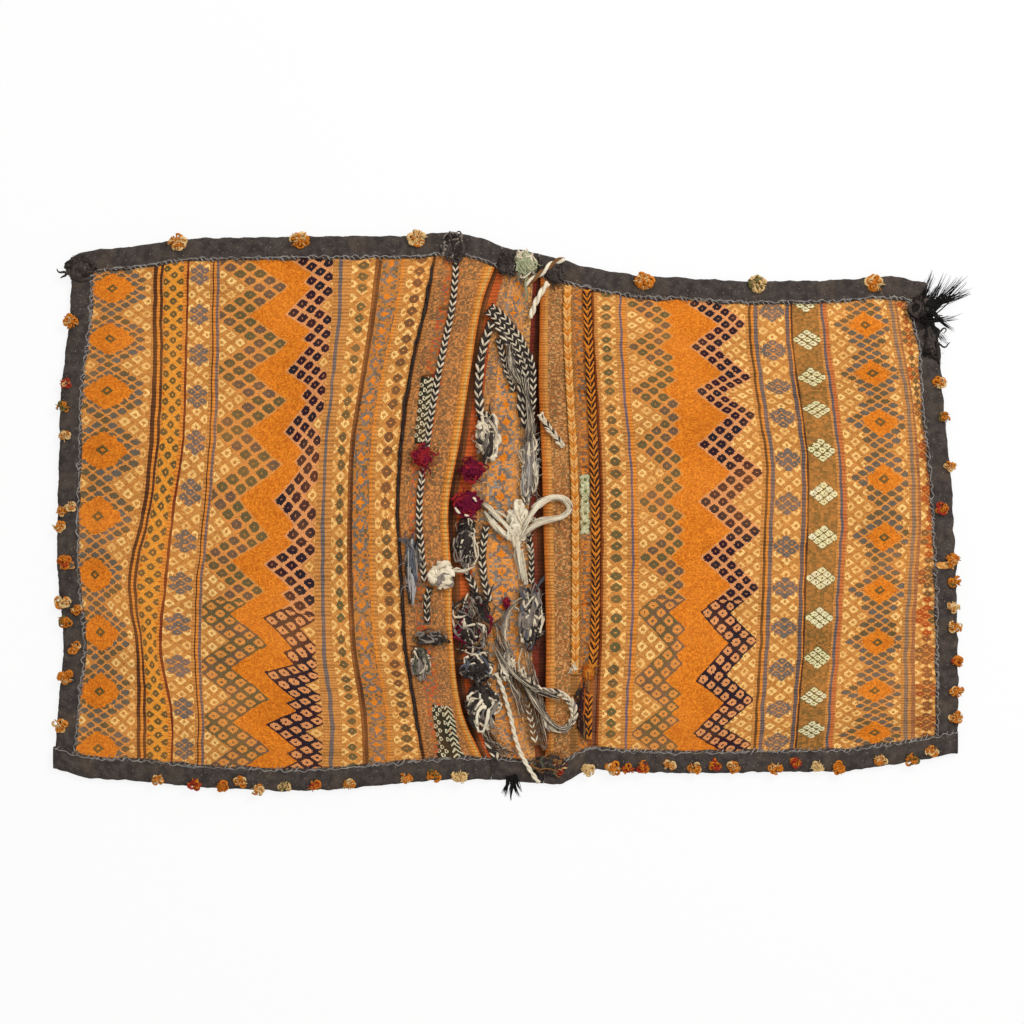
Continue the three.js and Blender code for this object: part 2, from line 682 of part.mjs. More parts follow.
for (const [name, [place, half, height, turn, colour]] of Object.entries(knots)) {
  add(name, knot(place, half, height, turn), colour);
}
const lumps = {
  red_rag_knot: [leftBorderAt([0.41, 0.591]), [10, 10, 5], onBraid, colours.red],
  wool_bow_knot: [bridgeAt([0.74, 0.485]), [11, 26, 8], onBridge, colours.cream],
  grey_wool_bundle: [bridgeAt([0.82, 0.309]), [13, 34, 8], onBridge, colours.grey],
  green_wool_lump: [bridgeAt([0.65, 0.985]), [11, 12, 6], onBridgeBinding, colours.green],
  dark_rag_strip: [leftBorderAt([0.59, 0.259]), [18, 8, 4], onBorder, colours.felt],
};
for (const [name, [place, half, height, colour]] of Object.entries(lumps)) {
  add(name, lump(place, half, height), colour);
}

// Tufts of yarn: large ones on the upper edge and smaller ones on the ends and the lower edge
const tuftOval = 0.8;

function addTufts(size, detail, places, heightAt) {
  for (const [name, place] of Object.entries(places)) {
    const half = [size, size * tuftOval, size / 2];
    add(`${name}_tuft`, lump(place, half, heightAt(place), detail), colours.orange);
  }
}
const onEdgeGathers = (spans) => ([x]) => {
  const [from, to] = spans.find(([start, end]) => (x - start) * (x - end) <= 0);
  return onGathers((x - from) / (to - from), to - from);
};
const onTopGathers = onEdgeGathers([leftTopSpan, rightTopSpan]);
const onBottomGathers = onEdgeGathers([leftBottomSpan, rightBottomSpan]);
const onEndGathers = ([x, y]) => {
  const start = bottomEdge(x) + seat;
  return onGathers((y - start) / (topEdge(x) - seat - start), bagWidth - 2 * seat);
};

addTufts(largeTuft, 1, {
  top_first: onLeftTop(0.258), top_second: onLeftTop(0.536), top_third: onLeftTop(0.800),
  top_fourth: onRightTop(0.267), top_fifth: onRightTop(0.558), top_sixth: onRightTop(0.856),
}, onTopGathers);
addTufts(smallTuft, 0, {
  left_upper: onLeftEnd(0.645), left_middle: onLeftEnd(0.5),
  right_upper: onRightEnd(0.7), right_middle: onRightEnd(0.6),
}, onEndGathers);
addTufts(smallTuft, 0, {
  bottom_first: onLeftBottom(0.762), bottom_second: onLeftBottom(0.614), bottom_third: onLeftBottom(0.471),
  bottom_fourth: onLeftBottom(0.322), bottom_fifth: onRightBottom(0.797),
}, onBottomGathers);

// Hair tassel of the upper right corner and hair tuft of the lower edge: locks as angles and lengths
const cornerLocks = [[-0.75, 30], [-0.1, 42], [0.28, tasselLength], [0.62, 48], [1.05, 40]];
const cornerHair = { root: 20, thickness: 5, out: 4, down: 22, floor: 6 };
const cornerX = rightEnd(up) + cornerHair.out;
const cornerPlace = [cornerX, topEdge(cornerX) - cornerHair.down];
add("corner_hair_tassel", hairFan(cornerPlace, cornerHair, cornerLocks, onBinding), colours.black);

const edgeLocks = [[-1.1, 22], [-1.6, 26], [-2.1, 24]];
const edgeHair = { root: 10, thickness: 3, at: 6, inward: 3, floor: 3 };
const edgePlace = [edgeHair.at, bottomEdge(edgeHair.at) + edgeHair.inward];
add("bottom_hair_tuft", hairFan(edgePlace, edgeHair, edgeLocks, onBridgeBinding), colours.black);

export default bag;
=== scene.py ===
"""Looks of the knotted saddle bag: woven cloths, felt bindings, braids, knots, tufts and hair."""

import logging
import math
from collections.abc import Callable, Sequence
from dataclasses import dataclass, field
from enum import Enum

import bpy
import numpy as np
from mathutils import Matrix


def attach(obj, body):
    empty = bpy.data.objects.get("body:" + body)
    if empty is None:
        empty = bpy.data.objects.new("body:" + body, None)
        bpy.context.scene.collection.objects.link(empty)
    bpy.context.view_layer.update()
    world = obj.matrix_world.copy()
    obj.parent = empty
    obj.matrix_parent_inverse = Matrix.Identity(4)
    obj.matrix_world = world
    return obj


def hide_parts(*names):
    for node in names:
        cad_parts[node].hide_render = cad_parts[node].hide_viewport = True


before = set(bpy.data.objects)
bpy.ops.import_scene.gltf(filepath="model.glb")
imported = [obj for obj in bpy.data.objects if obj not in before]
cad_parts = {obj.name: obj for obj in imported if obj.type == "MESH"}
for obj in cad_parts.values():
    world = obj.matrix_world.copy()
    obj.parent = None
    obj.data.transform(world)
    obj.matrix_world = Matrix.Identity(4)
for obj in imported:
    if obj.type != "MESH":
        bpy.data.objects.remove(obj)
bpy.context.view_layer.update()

log = logging.getLogger("saddle_bag")

Array = np.ndarray
MM = 0.001
MM_IN_METRE = 1000
SEED = 41
UV_LAYER = "weave"
Rgb = tuple[int, int, int]
Rgba = tuple[float, float, float, float]
Point = tuple[float, float, float]
Route = tuple[Point, ...]

# Heights of the layers, in millimetres
BACK_RAISED = 1.9
BACK_THICK = 2.2
FACE_LOW = 4.4
FACE_HIGH = 9.2
FACE_THICK = 2.8
BINDING_TOP = 9.1
BRIDGE_BINDING_TOP = 6.0
END_BINDING_TOP = BINDING_TOP - 0.7
BRAID_SEAT = 0.3
BRAID_MIDDLE = 1.6

# Widths, in millimetres: of the felt and its overlap at the corners, of the flat rim and the climb of a
# pouch, of the cloth's inset in its binding and the gap between cloths, and of the bag and its ends
BINDING_WIDTH = 25.0
BINDING_OVERLAP = 6.0
FLAT_FROM = 29.0
CLIMB = 26.0
INSET = 3.2
GAP = 0.15
BAG_WIDTH = 590
END_WIDTH = 545

# Warps of the bound ends, in millimetres
LEFT_END = -489.0
RIGHT_END = 487.0

# Height of half a zigzag in the weave's own rows, in millimetres
HALF_ROW = 31.35


class Slot(Enum):
    """Material slots of the record."""

    PATTERNED = "patterned_weave"
    BORDER = "border_weave"
    BACK = "back_weave"
    FELT = "felt"
    CHEVRON = "chevron_wool"
    PEACH = "peach_wool"
    TWO_TONE = "two_tone_wool"
    CREAM = "cream_wool"
    BROWN = "brown_wool"
    RED = "red_rag"
    MAROON = "maroon_rag"
    GREY = "grey_rag"
    GREEN = "green_wool"
    TUFT = "yarn_tuft"
    HAIR = "black_hair"


# Shapes of the bag


def along(values: Sequence[float], share: Array) -> Array:
    """Smooth value between evenly spaced ones.

    Args:
        values: The evenly spaced values.
        share: Places from 0 to 1.

    Returns:
        The value at each place.
    """
    table = np.asarray(values, dtype=float)
    last = len(table) - 1
    at = np.clip(share, 0, 1) * last
    low = np.minimum(at.astype(int), last - 1)
    t = at - low
    here = table[low]
    after = table[low + 1]
    start = (after - table[np.maximum(low - 1, 0)]) / 2
    end = (table[np.minimum(low + 2, last)] - here) / 2
    rise = after - here
    return here + t * start + t**2 * (3 * rise - 2 * start - end) + t**3 * (start + end - 2 * rise)


def smooth(value: Array) -> Array:
    """Eases 0 to 1 at both ends."""
    held = np.clip(value, 0, 1)
    return held * held * (3 - 2 * held)


@dataclass(frozen=True)
class Ripple:
    """Gentle unevenness, as waves in random directions."""

    wavelength: float
    height: float
    seed: int
    waves: int = 9

    def at(self, x: Array, y: Array) -> Array:
        """Unevenness at some points.

        Args:
            x: X of the points.
            y: Y of the points.

        Returns:
            The height at each point.
        """
        rng = np.random.default_rng(self.seed)
        total = np.zeros_like(x, dtype=float)
        for _ in range(self.waves):
            angle = rng.uniform(0, 2 * math.pi)
            rate = 2 * math.pi / (self.wavelength * rng.uniform(0.7, 1.4))
            phase = rng.uniform(0, 2 * math.pi)
            total += np.sin(rate * (x * math.cos(angle) + y * math.sin(angle)) + phase)
        return self.height * total / math.sqrt(self.waves / 2)


@dataclass(frozen=True)
class BagMap:
    """Warp lines and edges of the bag, in millimetres.

    Each warp line is its place at the middle and its bends from the lower edge to the upper one.
    """

    lines: tuple[tuple[float, tuple[float, ...]], ...] = (
        (-489, (-8, -3, 3, -3, -4, -2, 0, 9, 11)),
        (-461, (-4, -5, 1, -6, -7, -3, 4, 8, 13)),
        (-392, (-9, -7, -9, -18, -2, 7, 11, 11, 12)),
        (-363, (-7, -5, -18, -12, -4, 7, 10, 12, 13)),
        (-333, (-8, -6, -10, -7, 0, 6, 9, 10, 10)),
        (-250, (-8, -10, -11, -14, -5, 8, 12, 12, 12)),
        (-191, (-1, 2, -7, -8, -8, -5, 3, 10, 11)),
        (-160, (4, 2, -9, -13, -13, -10, 2, 13, 20)),
        (-135, (5, 5, -8, -13, -14, -12, 0, 16, 24)),
        (-102, (14, 3, -9, -13, -17, -13, -3, 14, 27)),
        (-75, (11, 1, -8, -15, -20, -11, 2, 17, 21)),
        (-40, (22, -8, -18, -20, -23, -10, 1, 13, 34)),
        (40, (3, 3, 4, 3, 1, -1, -4, -3, -2)),
        (73, (2, 2, 3, 3, 3, 1, -3, -6, -5)),
        (93, (-1, -3, 4, 5, 5, 3, 0, -3, -5)),
        (99, (-2, 0, 3, 4, 4, 3, -1, -5, -5)),
        (131, (-1, -1, 4, 6, 6, 4, -3, -7, -7)),
        (210, (-3, -1, 4, 7, 5, 3, 1, -7, -8)),
        (276, (-4, -2, 2, 5, 7, 9, 0, -9, -9)),
        (319, (-6, -2, 3, 5, 7, 8, 0, -9, -9)),
        (357, (-5, -3, 3, 7, 11, 9, 1, -8, -12)),
        (440, (2, 1, 1, 5, 10, 8, 3, -10, -18)),
        (465, (6, 9, 7, 9, 9, 6, -7, -16, -26)),
        (487, (9, 10, 9, 8, 5, 1, -6, -11, -25)),
    )
    ends: tuple[float, float] = (-493, 492)
    upper: tuple[float, ...] = (
        274, 285, 289, 292, 297, 300, 300, 301, 301, 302, 302, 302, 302, 303, 306, 301, 290, 284, 276,
        268, 262, 258, 257, 255, 253, 252, 253, 253, 254, 257, 257, 250, 238,
    )
    lower: tuple[float, ...] = (
        -284, -293, -295, -297, -300, -303, -305, -306, -308, -307, -306, -303, -300, -297, -295, -295,
        -296, -299, -299, -284, -286, -287, -288, -288, -288, -287, -287, -286, -286, -282, -278, -273, -267,
    )

    def x(self, u: Array, v: Array) -> Array:
        """X of points on the warps.

        Args:
            u: Warps of the points.
            v: Shares of the way up, as many.

        Returns:
            The X of each point.
        """
        bases = np.array([line[0] for line in self.lines])
        levels, inverse = np.unique(v, return_inverse=True)
        bends = np.array([along(line[1], levels) for line in self.lines])
        out = np.empty_like(u, dtype=float)
        inverse = inverse.reshape(v.shape)
        for index in range(len(levels)):
            here = inverse == index
            out[here] = u[here] + np.interp(u[here], bases, bends[:, index])
        return out

    def upper_edge(self, x: Array) -> Array:
        """Y of the upper edge at each X."""
        return along(self.upper, (x - self.ends[0]) / (self.ends[1] - self.ends[0]))

    def lower_edge(self, x: Array) -> Array:
        """Y of the lower edge at each X."""
        return along(self.lower, (x - self.ends[0]) / (self.ends[1] - self.ends[0]))

    def place(self, u: Array, v: Array) -> tuple[Array, Array]:
        """X and Y of points on the warps.

        Args:
            u: Warps of the points.
            v: Shares of the way up, as many.

        Returns:
            Both as arrays of that shape.
        """
        x = self.x(u, v)
        low = self.lower_edge(x)
        return x, low + v * (self.upper_edge(x) - low)

    def share_up(self, x: Array, y: Array) -> Array:
        """Share of the way from the lower edge to the upper one."""
        low = self.lower_edge(x)
        return (y - low) / (self.upper_edge(x) - low)

    def edge_distance(self, x: Array, y: Array) -> Array:
        """Distance to the nearer of the upper and lower edges."""
        return np.minimum(self.upper_edge(x) - y, y - self.lower_edge(x))


BAG = BagMap()


def face_rise(x: Array, y: Array, v: Array, end: float | None) -> Array:
    """Share of the climb from the binding to the full height of a pouch.

    Args:
        x: X of the points.
        y: Y of the points.
        v: Shares of the way up.
        end: Warp line of the bound end, or None for a piece without one.

    Returns:
        From 0 at the binding to 1 on the pouch.
    """
    distance = BAG.edge_distance(x, y)
    if end is not None:
        distance = np.minimum(distance, np.abs(x - BAG.x(np.full_like(x, end), v)))
    return smooth((distance - FLAT_FROM) / CLIMB)


def face_low(rise: Array) -> Array:
    """Height of the lower side of a pouch front, for its share of the climb."""
    return FACE_LOW + (FACE_HIGH - FACE_LOW) * rise


def face_top(x: Array, y: Array) -> Array:
    """Height of the top of a border, away from the ends of the bag."""
    return face_low(face_rise(x, y, BAG.share_up(x, y), None)) + FACE_THICK


# Meshes


@dataclass
class Parts:
    """Points and faces gathered for one piece, in millimetres."""

    points: list[Array] = field(default_factory=list)
    quads: list[Array] = field(default_factory=list)
    finishes: list[Array] = field(default_factory=list)
    uvs: list[Array] = field(default_factory=list)
    count: int = 0

    def add(self, points: Array, quads: Array, uv: Array, finish: int | Array = 0) -> None:
        """Adds a body.

        Args:
            points: Its points, one row each.
            quads: Its faces, four point numbers each.
            uv: Place on the finish of each point, in millimetres.
            finish: Number of the finish, for all faces or for each.
        """
        self.points.append(points)
        self.quads.append(quads + self.count)
        self.uvs.append(uv)
        self.finishes.append(np.broadcast_to(finish, (len(quads),)).astype(int))
        self.count += len(points)

    def add_tube(
        self,
        path: Array,
        radii: Array,
        sides: int = 4,
        flat: float = 1.0,
        shift: float = 0.0,
        finish: int = 0,
    ) -> None:
        """Adds a closed tube along a path.

        Args:
            path: Points of its middle line.
            radii: Radius at each point.
            sides: Even number of its sides.
            flat: Height of its section over its width.
            shift: Where it starts on the finish, in millimetres.
            finish: Number of the finish.
        """
        points, quads, uv = tube(path, radii, sides, flat)
        uv[:, 0] += shift
        self.add(points, quads, uv, finish)

    def add_core(self, path: Array, half: float, drop: float, flat: float) -> None:
        """Adds the flat core of a plait.

        Args:
            path: Middle line of the plait.
            half: Half of the core's width.
            drop: How far it lies below the path.
            flat: Its height over its width.
        """
        self.add_tube(path - [0, 0, drop], np.full(len(path), half), 8, flat)

    def build(self, name: str, finishes: Sequence["Finish"]) -> bpy.types.Object:
        """Makes the mesh object with its materials.

        Args:
            name: Name of the piece.
            finishes: Its finishes, in the order of their numbers.

        Returns:
            The object, in the scene.
        """
        points = np.concatenate(self.points) * MM
        quads = np.concatenate(self.quads)
        uv = np.concatenate(self.uvs) * MM
        mesh = bpy.data.meshes.new(name)
        mesh.vertices.add(len(points))
        mesh.vertices.foreach_set("co", points.astype(np.float32).ravel())
        mesh.loops.add(quads.size)
        mesh.loops.foreach_set("vertex_index", quads.astype(np.int32).ravel())
        mesh.polygons.add(len(quads))
        mesh.polygons.foreach_set("loop_start", np.arange(0, quads.size, 4, dtype=np.int32))
        mesh.polygons.foreach_set("material_index", np.concatenate(self.finishes).astype(np.int32))
        mesh.polygons.foreach_set("use_smooth", np.ones(len(quads), dtype=bool))
        layer = mesh.uv_layers.new(name=UV_LAYER)
        layer.data.foreach_set("uv", uv[quads.ravel()].astype(np.float32).ravel())
        mesh.update(calc_edges=True)
        for finish in finishes:
            mesh.materials.append(finish.material())
        return show(name, mesh)


def show(name: str, data: bpy.types.ID) -> bpy.types.Object:
    """Puts a mesh, a camera or a lamp in the scene.

    Args:
        name: Name of the object.
        data: What it holds.

    Returns:
        The object.
    """
    made = bpy.data.objects.new(name, data)
    bpy.context.scene.collection.objects.link(made)
    return made


def rows_of(*axes: Array) -> Array:
    """Numbers of a grid side by side, one row for each of its points."""
    return np.stack(axes, axis=-1).reshape(-1, len(axes))


def grid_quads(rows: int, columns: int, round_rows: bool = False) -> Array:
    """Faces of a grid of points.

    Args:
        rows: Number of rows of points.
        columns: Number of points in a row.
        round_rows: Whether each row closes on itself.

    Returns:
        Four point numbers for each face.
    """
    across = np.arange(columns if round_rows else columns - 1)
    start = (np.arange(rows - 1)[:, None] * columns + across[None, :]).ravel()
    step = np.where(across == columns - 1, 1 - columns, 1)
    side = start + np.broadcast_to(step, (rows - 1, len(across))).ravel()
    return np.stack([start, start + columns, side + columns, side], axis=1)


def shell_faces(rows: int, columns: int) -> tuple[Array, Array]:
    """Faces of a closed cloth, whose upper points come before its lower ones.

    Args:
        rows: Number of rows of points on each side.
        columns: Number of points in a row.

    Returns:
        The faces of the upper side, the lower side and the rim, and the first point of each of the rim's.
    """
    low = np.arange(columns)
    right = np.arange(1, rows) * columns + columns - 1
    high = (rows - 1) * columns + np.arange(columns - 2, -1, -1)
    left = np.arange(rows - 2, 0, -1) * columns
    rim = np.concatenate([low, right, high, left])
    after = np.roll(rim, -1)
    count = rows * columns
    flat = grid_quads(rows, columns)
    sides = np.stack([rim, rim + count, after + count, after], axis=1)
    return np.concatenate([flat[:, ::-1], flat + count, sides]), rim


def run_along(path: Array) -> Array:
    """Length of a path up to each of its points."""
    return np.concatenate([[0.0], np.cumsum(np.linalg.norm(np.diff(path, axis=0), axis=1))])


def tube(path: Array, radii: Array, sides: int, flat: float = 1.0) -> tuple[Array, ...]:
    """Closed tube along a path.

    Args:
        path: Points of its middle line.
        radii: Radius at each point.
        sides: Even number of its sides.
        flat: Height of its section over its width.

    Returns:
        Points, faces and finish places.
    """
    steps = np.gradient(path, axis=0)
    tangent = steps / np.maximum(np.linalg.norm(steps, axis=1, keepdims=True), 1e-9)
    upright = abs(tangent[:, 2]).mean() > 0.75
    side = np.cross(tangent, [1.0, 0.0, 0.0] if upright else [0.0, 0.0, 1.0])
    side /= np.maximum(np.linalg.norm(side, axis=1, keepdims=True), 1e-6)
    up = np.cross(side, tangent)
    turn = 2 * math.pi * np.arange(sides) / sides
    ring = np.cos(turn)[None, :, None] * side[:, None, :]
    ring = ring + flat * np.sin(turn)[None, :, None] * up[:, None, :]
    points = (path[:, None, :] + radii[:, None, None] * ring).reshape(-1, 3)
    quads = grid_quads(len(path), sides, round_rows=True)
    low = np.array([[i, i + 1, sides - 2 - i, sides - 1 - i] for i in range(sides // 2 - 1)])
    high = low[:, ::-1] + (len(path) - 1) * sides
    uv = np.stack([np.repeat(run_along(path), sides), np.tile(np.arange(sides) * 2.0, len(path))], axis=1)
    return points, np.concatenate([quads, low, high]), uv


def smooth_path(points: Sequence[Sequence[float]], spacing: float) -> Array:
    """Evenly spaced points along a smooth line.

    Args:
        points: The points that the line goes through.
        spacing: About how far apart the new ones are.

    Returns:
        The points, one row each.
    """
    given = np.asarray(points, dtype=float)
    rough = np.linalg.norm(np.diff(given, axis=0), axis=1).sum()
    count = max(4, round(rough / spacing) + 1)
    dense = np.linspace(0, 1, count * 6)
    line = np.stack([along(given[:, axis], dense) for axis in range(3)], axis=1)
    run = run_along(line)
    even = np.linspace(0, run[-1], count)
    return np.stack([np.interp(even, run, line[:, axis]) for axis in range(3)], axis=1)


def length_of(path: Array) -> float:
    """Length of a path."""
    return float(np.linalg.norm(np.diff(path, axis=0), axis=1).sum())


# Finishes

# How strongly every finish mirrors light
SHEEN = 0.12


def linear(colour: Rgb) -> tuple[float, float, float, float]:
    """Linear colour of a screen colour.

    Args:
        colour: Red, green and blue from 0 to 255.

    Returns:
        Linear red, green, blue and full cover.
    """
    parts = [value / 255 for value in colour]
    red, green, blue = (p / 12.92 if p <= 0.04045 else ((p + 0.055) / 1.055) ** 2.4 for p in parts)
    return red, green, blue, 1.0


class Value:
    """A number or a colour that a material works out, which adds, multiplies and compares like a number."""

    def __init__(self, tree: bpy.types.NodeTree, socket: bpy.types.NodeSocket) -> None:
        """Keeps the socket that carries the number."""
        self.tree = tree
        self.socket = socket

    def work(self, operation: str, *others: "Value | float") -> "Value":
        """Works something out from this number and others.

        Args:
            operation: Name of the operation.
            others: The other numbers.

        Returns:
            The outcome.
        """
        node = self.tree.nodes.new("ShaderNodeMath")
        node.operation = operation
        for target, value in zip(node.inputs, (self, *others)):
            feed(target, value)
        return Value(self.tree, node.outputs[0])

    def __add__(self, other: "Value | float") -> "Value":
        """This plus another."""
        return self.work("ADD", other)

    def __sub__(self, other: "Value | float") -> "Value":
        """This less another."""
        return self.work("SUBTRACT", other)

    def __mul__(self, other: "Value | float") -> "Value":
        """This times another."""
        return self.work("MULTIPLY", other)

    def __truediv__(self, other: "Value | float") -> "Value":
        """This over another."""
        return self.work("DIVIDE", other)

    def floor(self) -> "Value":
        """The whole number below."""
        return self.work("FLOOR")

    def nearest(self) -> "Value":
        """The nearest whole number."""
        return self.work("ROUND")

    def fraction(self) -> "Value":
        """The part after the point."""
        return self.work("FRACT")

    def size(self) -> "Value":
        """The number without its sign."""
        return self.work("ABSOLUTE")

    def below(self, other: "Value | float") -> "Value":
        """1 where this is below the other, else 0."""
        return self.work("LESS_THAN", other)

    def above(self, other: "Value | float") -> "Value":
        """1 where this is above the other, else 0."""
        return self.work("GREATER_THAN", other)

    def larger(self, other: "Value | float") -> "Value":
        """The larger of the two."""
        return self.work("MAXIMUM", other)

    def smaller(self, other: "Value | float") -> "Value":
        """The smaller of the two."""
        return self.work("MINIMUM", other)

    def swing(self, reach: float) -> "Value":
        """Runs from 0 up to reach and back, over and over."""
        return self.work("PINGPONG", reach)

    def root(self) -> "Value":
        """Square root."""
        return self.work("SQRT")

    def flip(self) -> "Value":
        """1 less this."""
        return self.work("MULTIPLY_ADD", -1.0, 1.0)


Paint = Value | Rgb


def feed(target: bpy.types.NodeSocket, value: Value | Rgba | float) -> None:
    """Leads a value into a node.

    Args:
        target: Socket of the node.
        value: The value, or a constant.
    """
    if isinstance(value, Value):
        value.tree.links.new(value.socket, target)
    else:
        target.default_value = value


@dataclass
class Cell:
    """One cell of a lozenge lattice: its middle, the way from it, and the distance from 0 to 1."""

    s: Value
    q: Value
    ds: Value
    dq: Value
    reach: Value


class Canvas:
    """The nodes of one material."""

    def __init__(self, name: str) -> None:
        """Starts an empty material.

        Args:
            name: Name of the material.
        """
        self.material = bpy.data.materials.new(name)
        self.material.use_nodes = True
        self.tree = self.material.node_tree
        self.tree.nodes.clear()

    def node(self, kind: str, *values: Value | float) -> bpy.types.Node:
        """Makes a node.

        Args:
            kind: Its kind, as Blender names it after ShaderNode.
            values: What goes into its first inputs.

        Returns:
            The node.
        """
        made = self.tree.nodes.new(f"ShaderNode{kind}")
        for target, value in zip(made.inputs, values):
            feed(target, value)
        return made

    def out(self, node: bpy.types.Node, slot: int | str = 0) -> Value:
        """What a node gives."""
        return Value(self.tree, node.outputs[slot])

    def place(self) -> tuple[Value, Value]:
        """Place on the finish, in millimetres.

        Returns:
            Along the bag and across it, or along a yarn and round it.
        """
        layer = self.node("UVMap")
        layer.uv_map = UV_LAYER
        parts = self.node("SeparateXYZ", self.out(layer))
        return self.out(parts) * (1 / MM), self.out(parts, 1) * (1 / MM)

    def spot(self, x: Value, y: Value) -> Value:
        """A flat place as one value."""
        return self.out(self.node("CombineXYZ", x, y))

    def noise(self, x: Value, y: Value, grain: float, detail: float = 1.0, offset: float = 0.0) -> Value:
        """Smooth noise from about 0.25 to 0.75.

        Args:
            x: Place along the finish.
            y: Place across it.
            grain: Size of its grains in millimetres.
            detail: How many finer noises lie in it.
            offset: Shift of the noise along x.

        Returns:
            The noise.
        """
        node = self.node("TexNoise", self.spot(x + offset, y))
        node.noise_dimensions = "2D"
        feed(node.inputs["Scale"], 1 / grain)
        feed(node.inputs["Detail"], detail)
        return self.out(node)

    def chance(self, x: Value, y: Value, offset: float = 0.0) -> Value:
        """A random number from 0 to 1 for each pair of whole numbers.

        Args:
            x: First whole number.
            y: Second whole number.
            offset: Shift that gives other random numbers.

        Returns:
            The random number.
        """
        node = self.node("TexWhiteNoise", self.spot(x + offset, y))
        node.noise_dimensions = "2D"
        return self.out(node)

    def mix(self, share: Value, first: Paint, second: Paint) -> Value:
        """Goes from one paint to another.

        Args:
            share: 0 for the first paint, 1 for the second.
            first: Paint at 0.
            second: Paint at 1.

        Returns:
            The mixed paint.
        """
        node = self.node("Mix")
        node.data_type = "RGBA"
        feed(node.inputs[0], share)
        for slot, paint in ((6, first), (7, second)):
            feed(node.inputs[slot], paint if isinstance(paint, Value) else linear(paint))
        return self.out(node, 2)

    def shade(self, paint: Value, strength: Value) -> Value:
        """Makes a paint lighter or darker.

        Args:
            paint: The paint.
            strength: What it is multiplied by.

        Returns:
            The new paint.
        """
        node = self.node("VectorMath", paint)
        node.operation = "SCALE"
        feed(node.inputs[3], strength)
        return self.out(node)

    def steps(self, value: Value, low: float, high: float, stops: Sequence[tuple[float, Rgb]]) -> Value:
        """Stripes, in which each paint runs from its own place to the next one's.

        Args:
            value: Place across the stripes.
            low: Where the first stripe starts.
            high: Where the last stripe ends.
            stops: Place and paint of each stripe.

        Returns:
            The paint.
        """
        node = self.node("ValToRGB", (value - low) / (high - low))
        ramp = node.color_ramp
        ramp.interpolation = "CONSTANT"
        while len(ramp.elements) < len(stops):
            ramp.elements.new(1.0)
        for element, (start, paint) in zip(ramp.elements, stops):
            element.position = (start - low) / (high - low)
            element.color = linear(paint)
        return self.out(node)

    def lattice(self, s: Value, q: Value, wide: float, high: float, start: float) -> Cell:
        """Lozenge lattice.

        Args:
            s: Place along the bag.
            q: Place across it.
            wide: Half width of a lozenge in millimetres.
            high: Half height of a lozenge in millimetres.
            start: Where along the bag a lozenge has its middle.

        Returns:
            The lozenge at each place.
        """
        across = (s - start) / wide
        down = q / high
        first = (across + down) * 0.5
        second = (across - down) * 0.5
        first_near = first.nearest()
        second_near = second.nearest()
        reach = (first - first_near).size().larger((second - second_near).size()) * 2.0
        middle_s = (first_near + second_near) * wide + start
        middle_q = (first_near - second_near) * high
        return Cell(middle_s, middle_q, s - middle_s, q - middle_q, reach)

    def done(self, paint: Value, height: Value, depth: float, roughness: float) -> bpy.types.Material:
        """Joins paint and fine relief into the finished material.

        Args:
            paint: Colour of the surface.
            height: Fine relief, from 0 to 1.
            depth: Depth of the relief in millimetres.
            roughness: Roughness of the surface.

        Returns:
            The material.
        """
        bump = self.node("Bump")
        surface = self.node("BsdfPrincipled")
        for node, name, value in (
            (bump, "Distance", depth * MM),
            (bump, "Strength", 1.0),
            (bump, "Height", height),
            (surface, "Roughness", roughness),
            (surface, "Specular IOR Level", SHEEN),
            (surface, "Base Color", paint),
            (surface, "Normal", self.out(bump)),
        ):
            feed(node.inputs[name], value)
        self.node("OutputMaterial", self.out(surface))
        return self.material


_made: dict["Finish", bpy.types.Material] = {}


@dataclass(frozen=True)
class Finish:
    """A material made from nodes. Each kind draws itself."""

    name: str

    def material(self) -> bpy.types.Material:
        """Makes the material, or finds it if it has been made.

        Returns:
            The material.
        """
        if self not in _made:
            _made[self] = self.draw(Canvas(self.name))
        return _made[self]

    def draw(self, canvas: Canvas) -> bpy.types.Material:
        """Draws the finish."""
        raise NotImplementedError


# Paints of the weave
ORANGE: Rgb = (236, 138, 38)
DEEP_ORANGE: Rgb = (190, 92, 20)
CREAM: Rgb = (252, 208, 130)
DEEP_CREAM: Rgb = (236, 178, 100)
TAN: Rgb = (190, 122, 56)
PALE_TAN: Rgb = (216, 150, 78)
LATTICE: Rgb = (220, 142, 68)
OLIVE: Rgb = (110, 90, 56)
PURPLE: Rgb = (54, 26, 36)
SLATE: Rgb = (40, 36, 42)
BLUE_GREY: Rgb = (110, 100, 88)
RUST: Rgb = (178, 84, 36)
GREEN: Rgb = (102, 94, 58)
PALE_GREEN: Rgb = (226, 216, 160)
MOSS: Rgb = (104, 84, 44)
EARTH: Rgb = (116, 88, 68)
PALE_ROSE: Rgb = (222, 148, 92)

# Width of a wrap and height of a weft, in millimetres
WRAP = 1.4
WEFT = 1.15


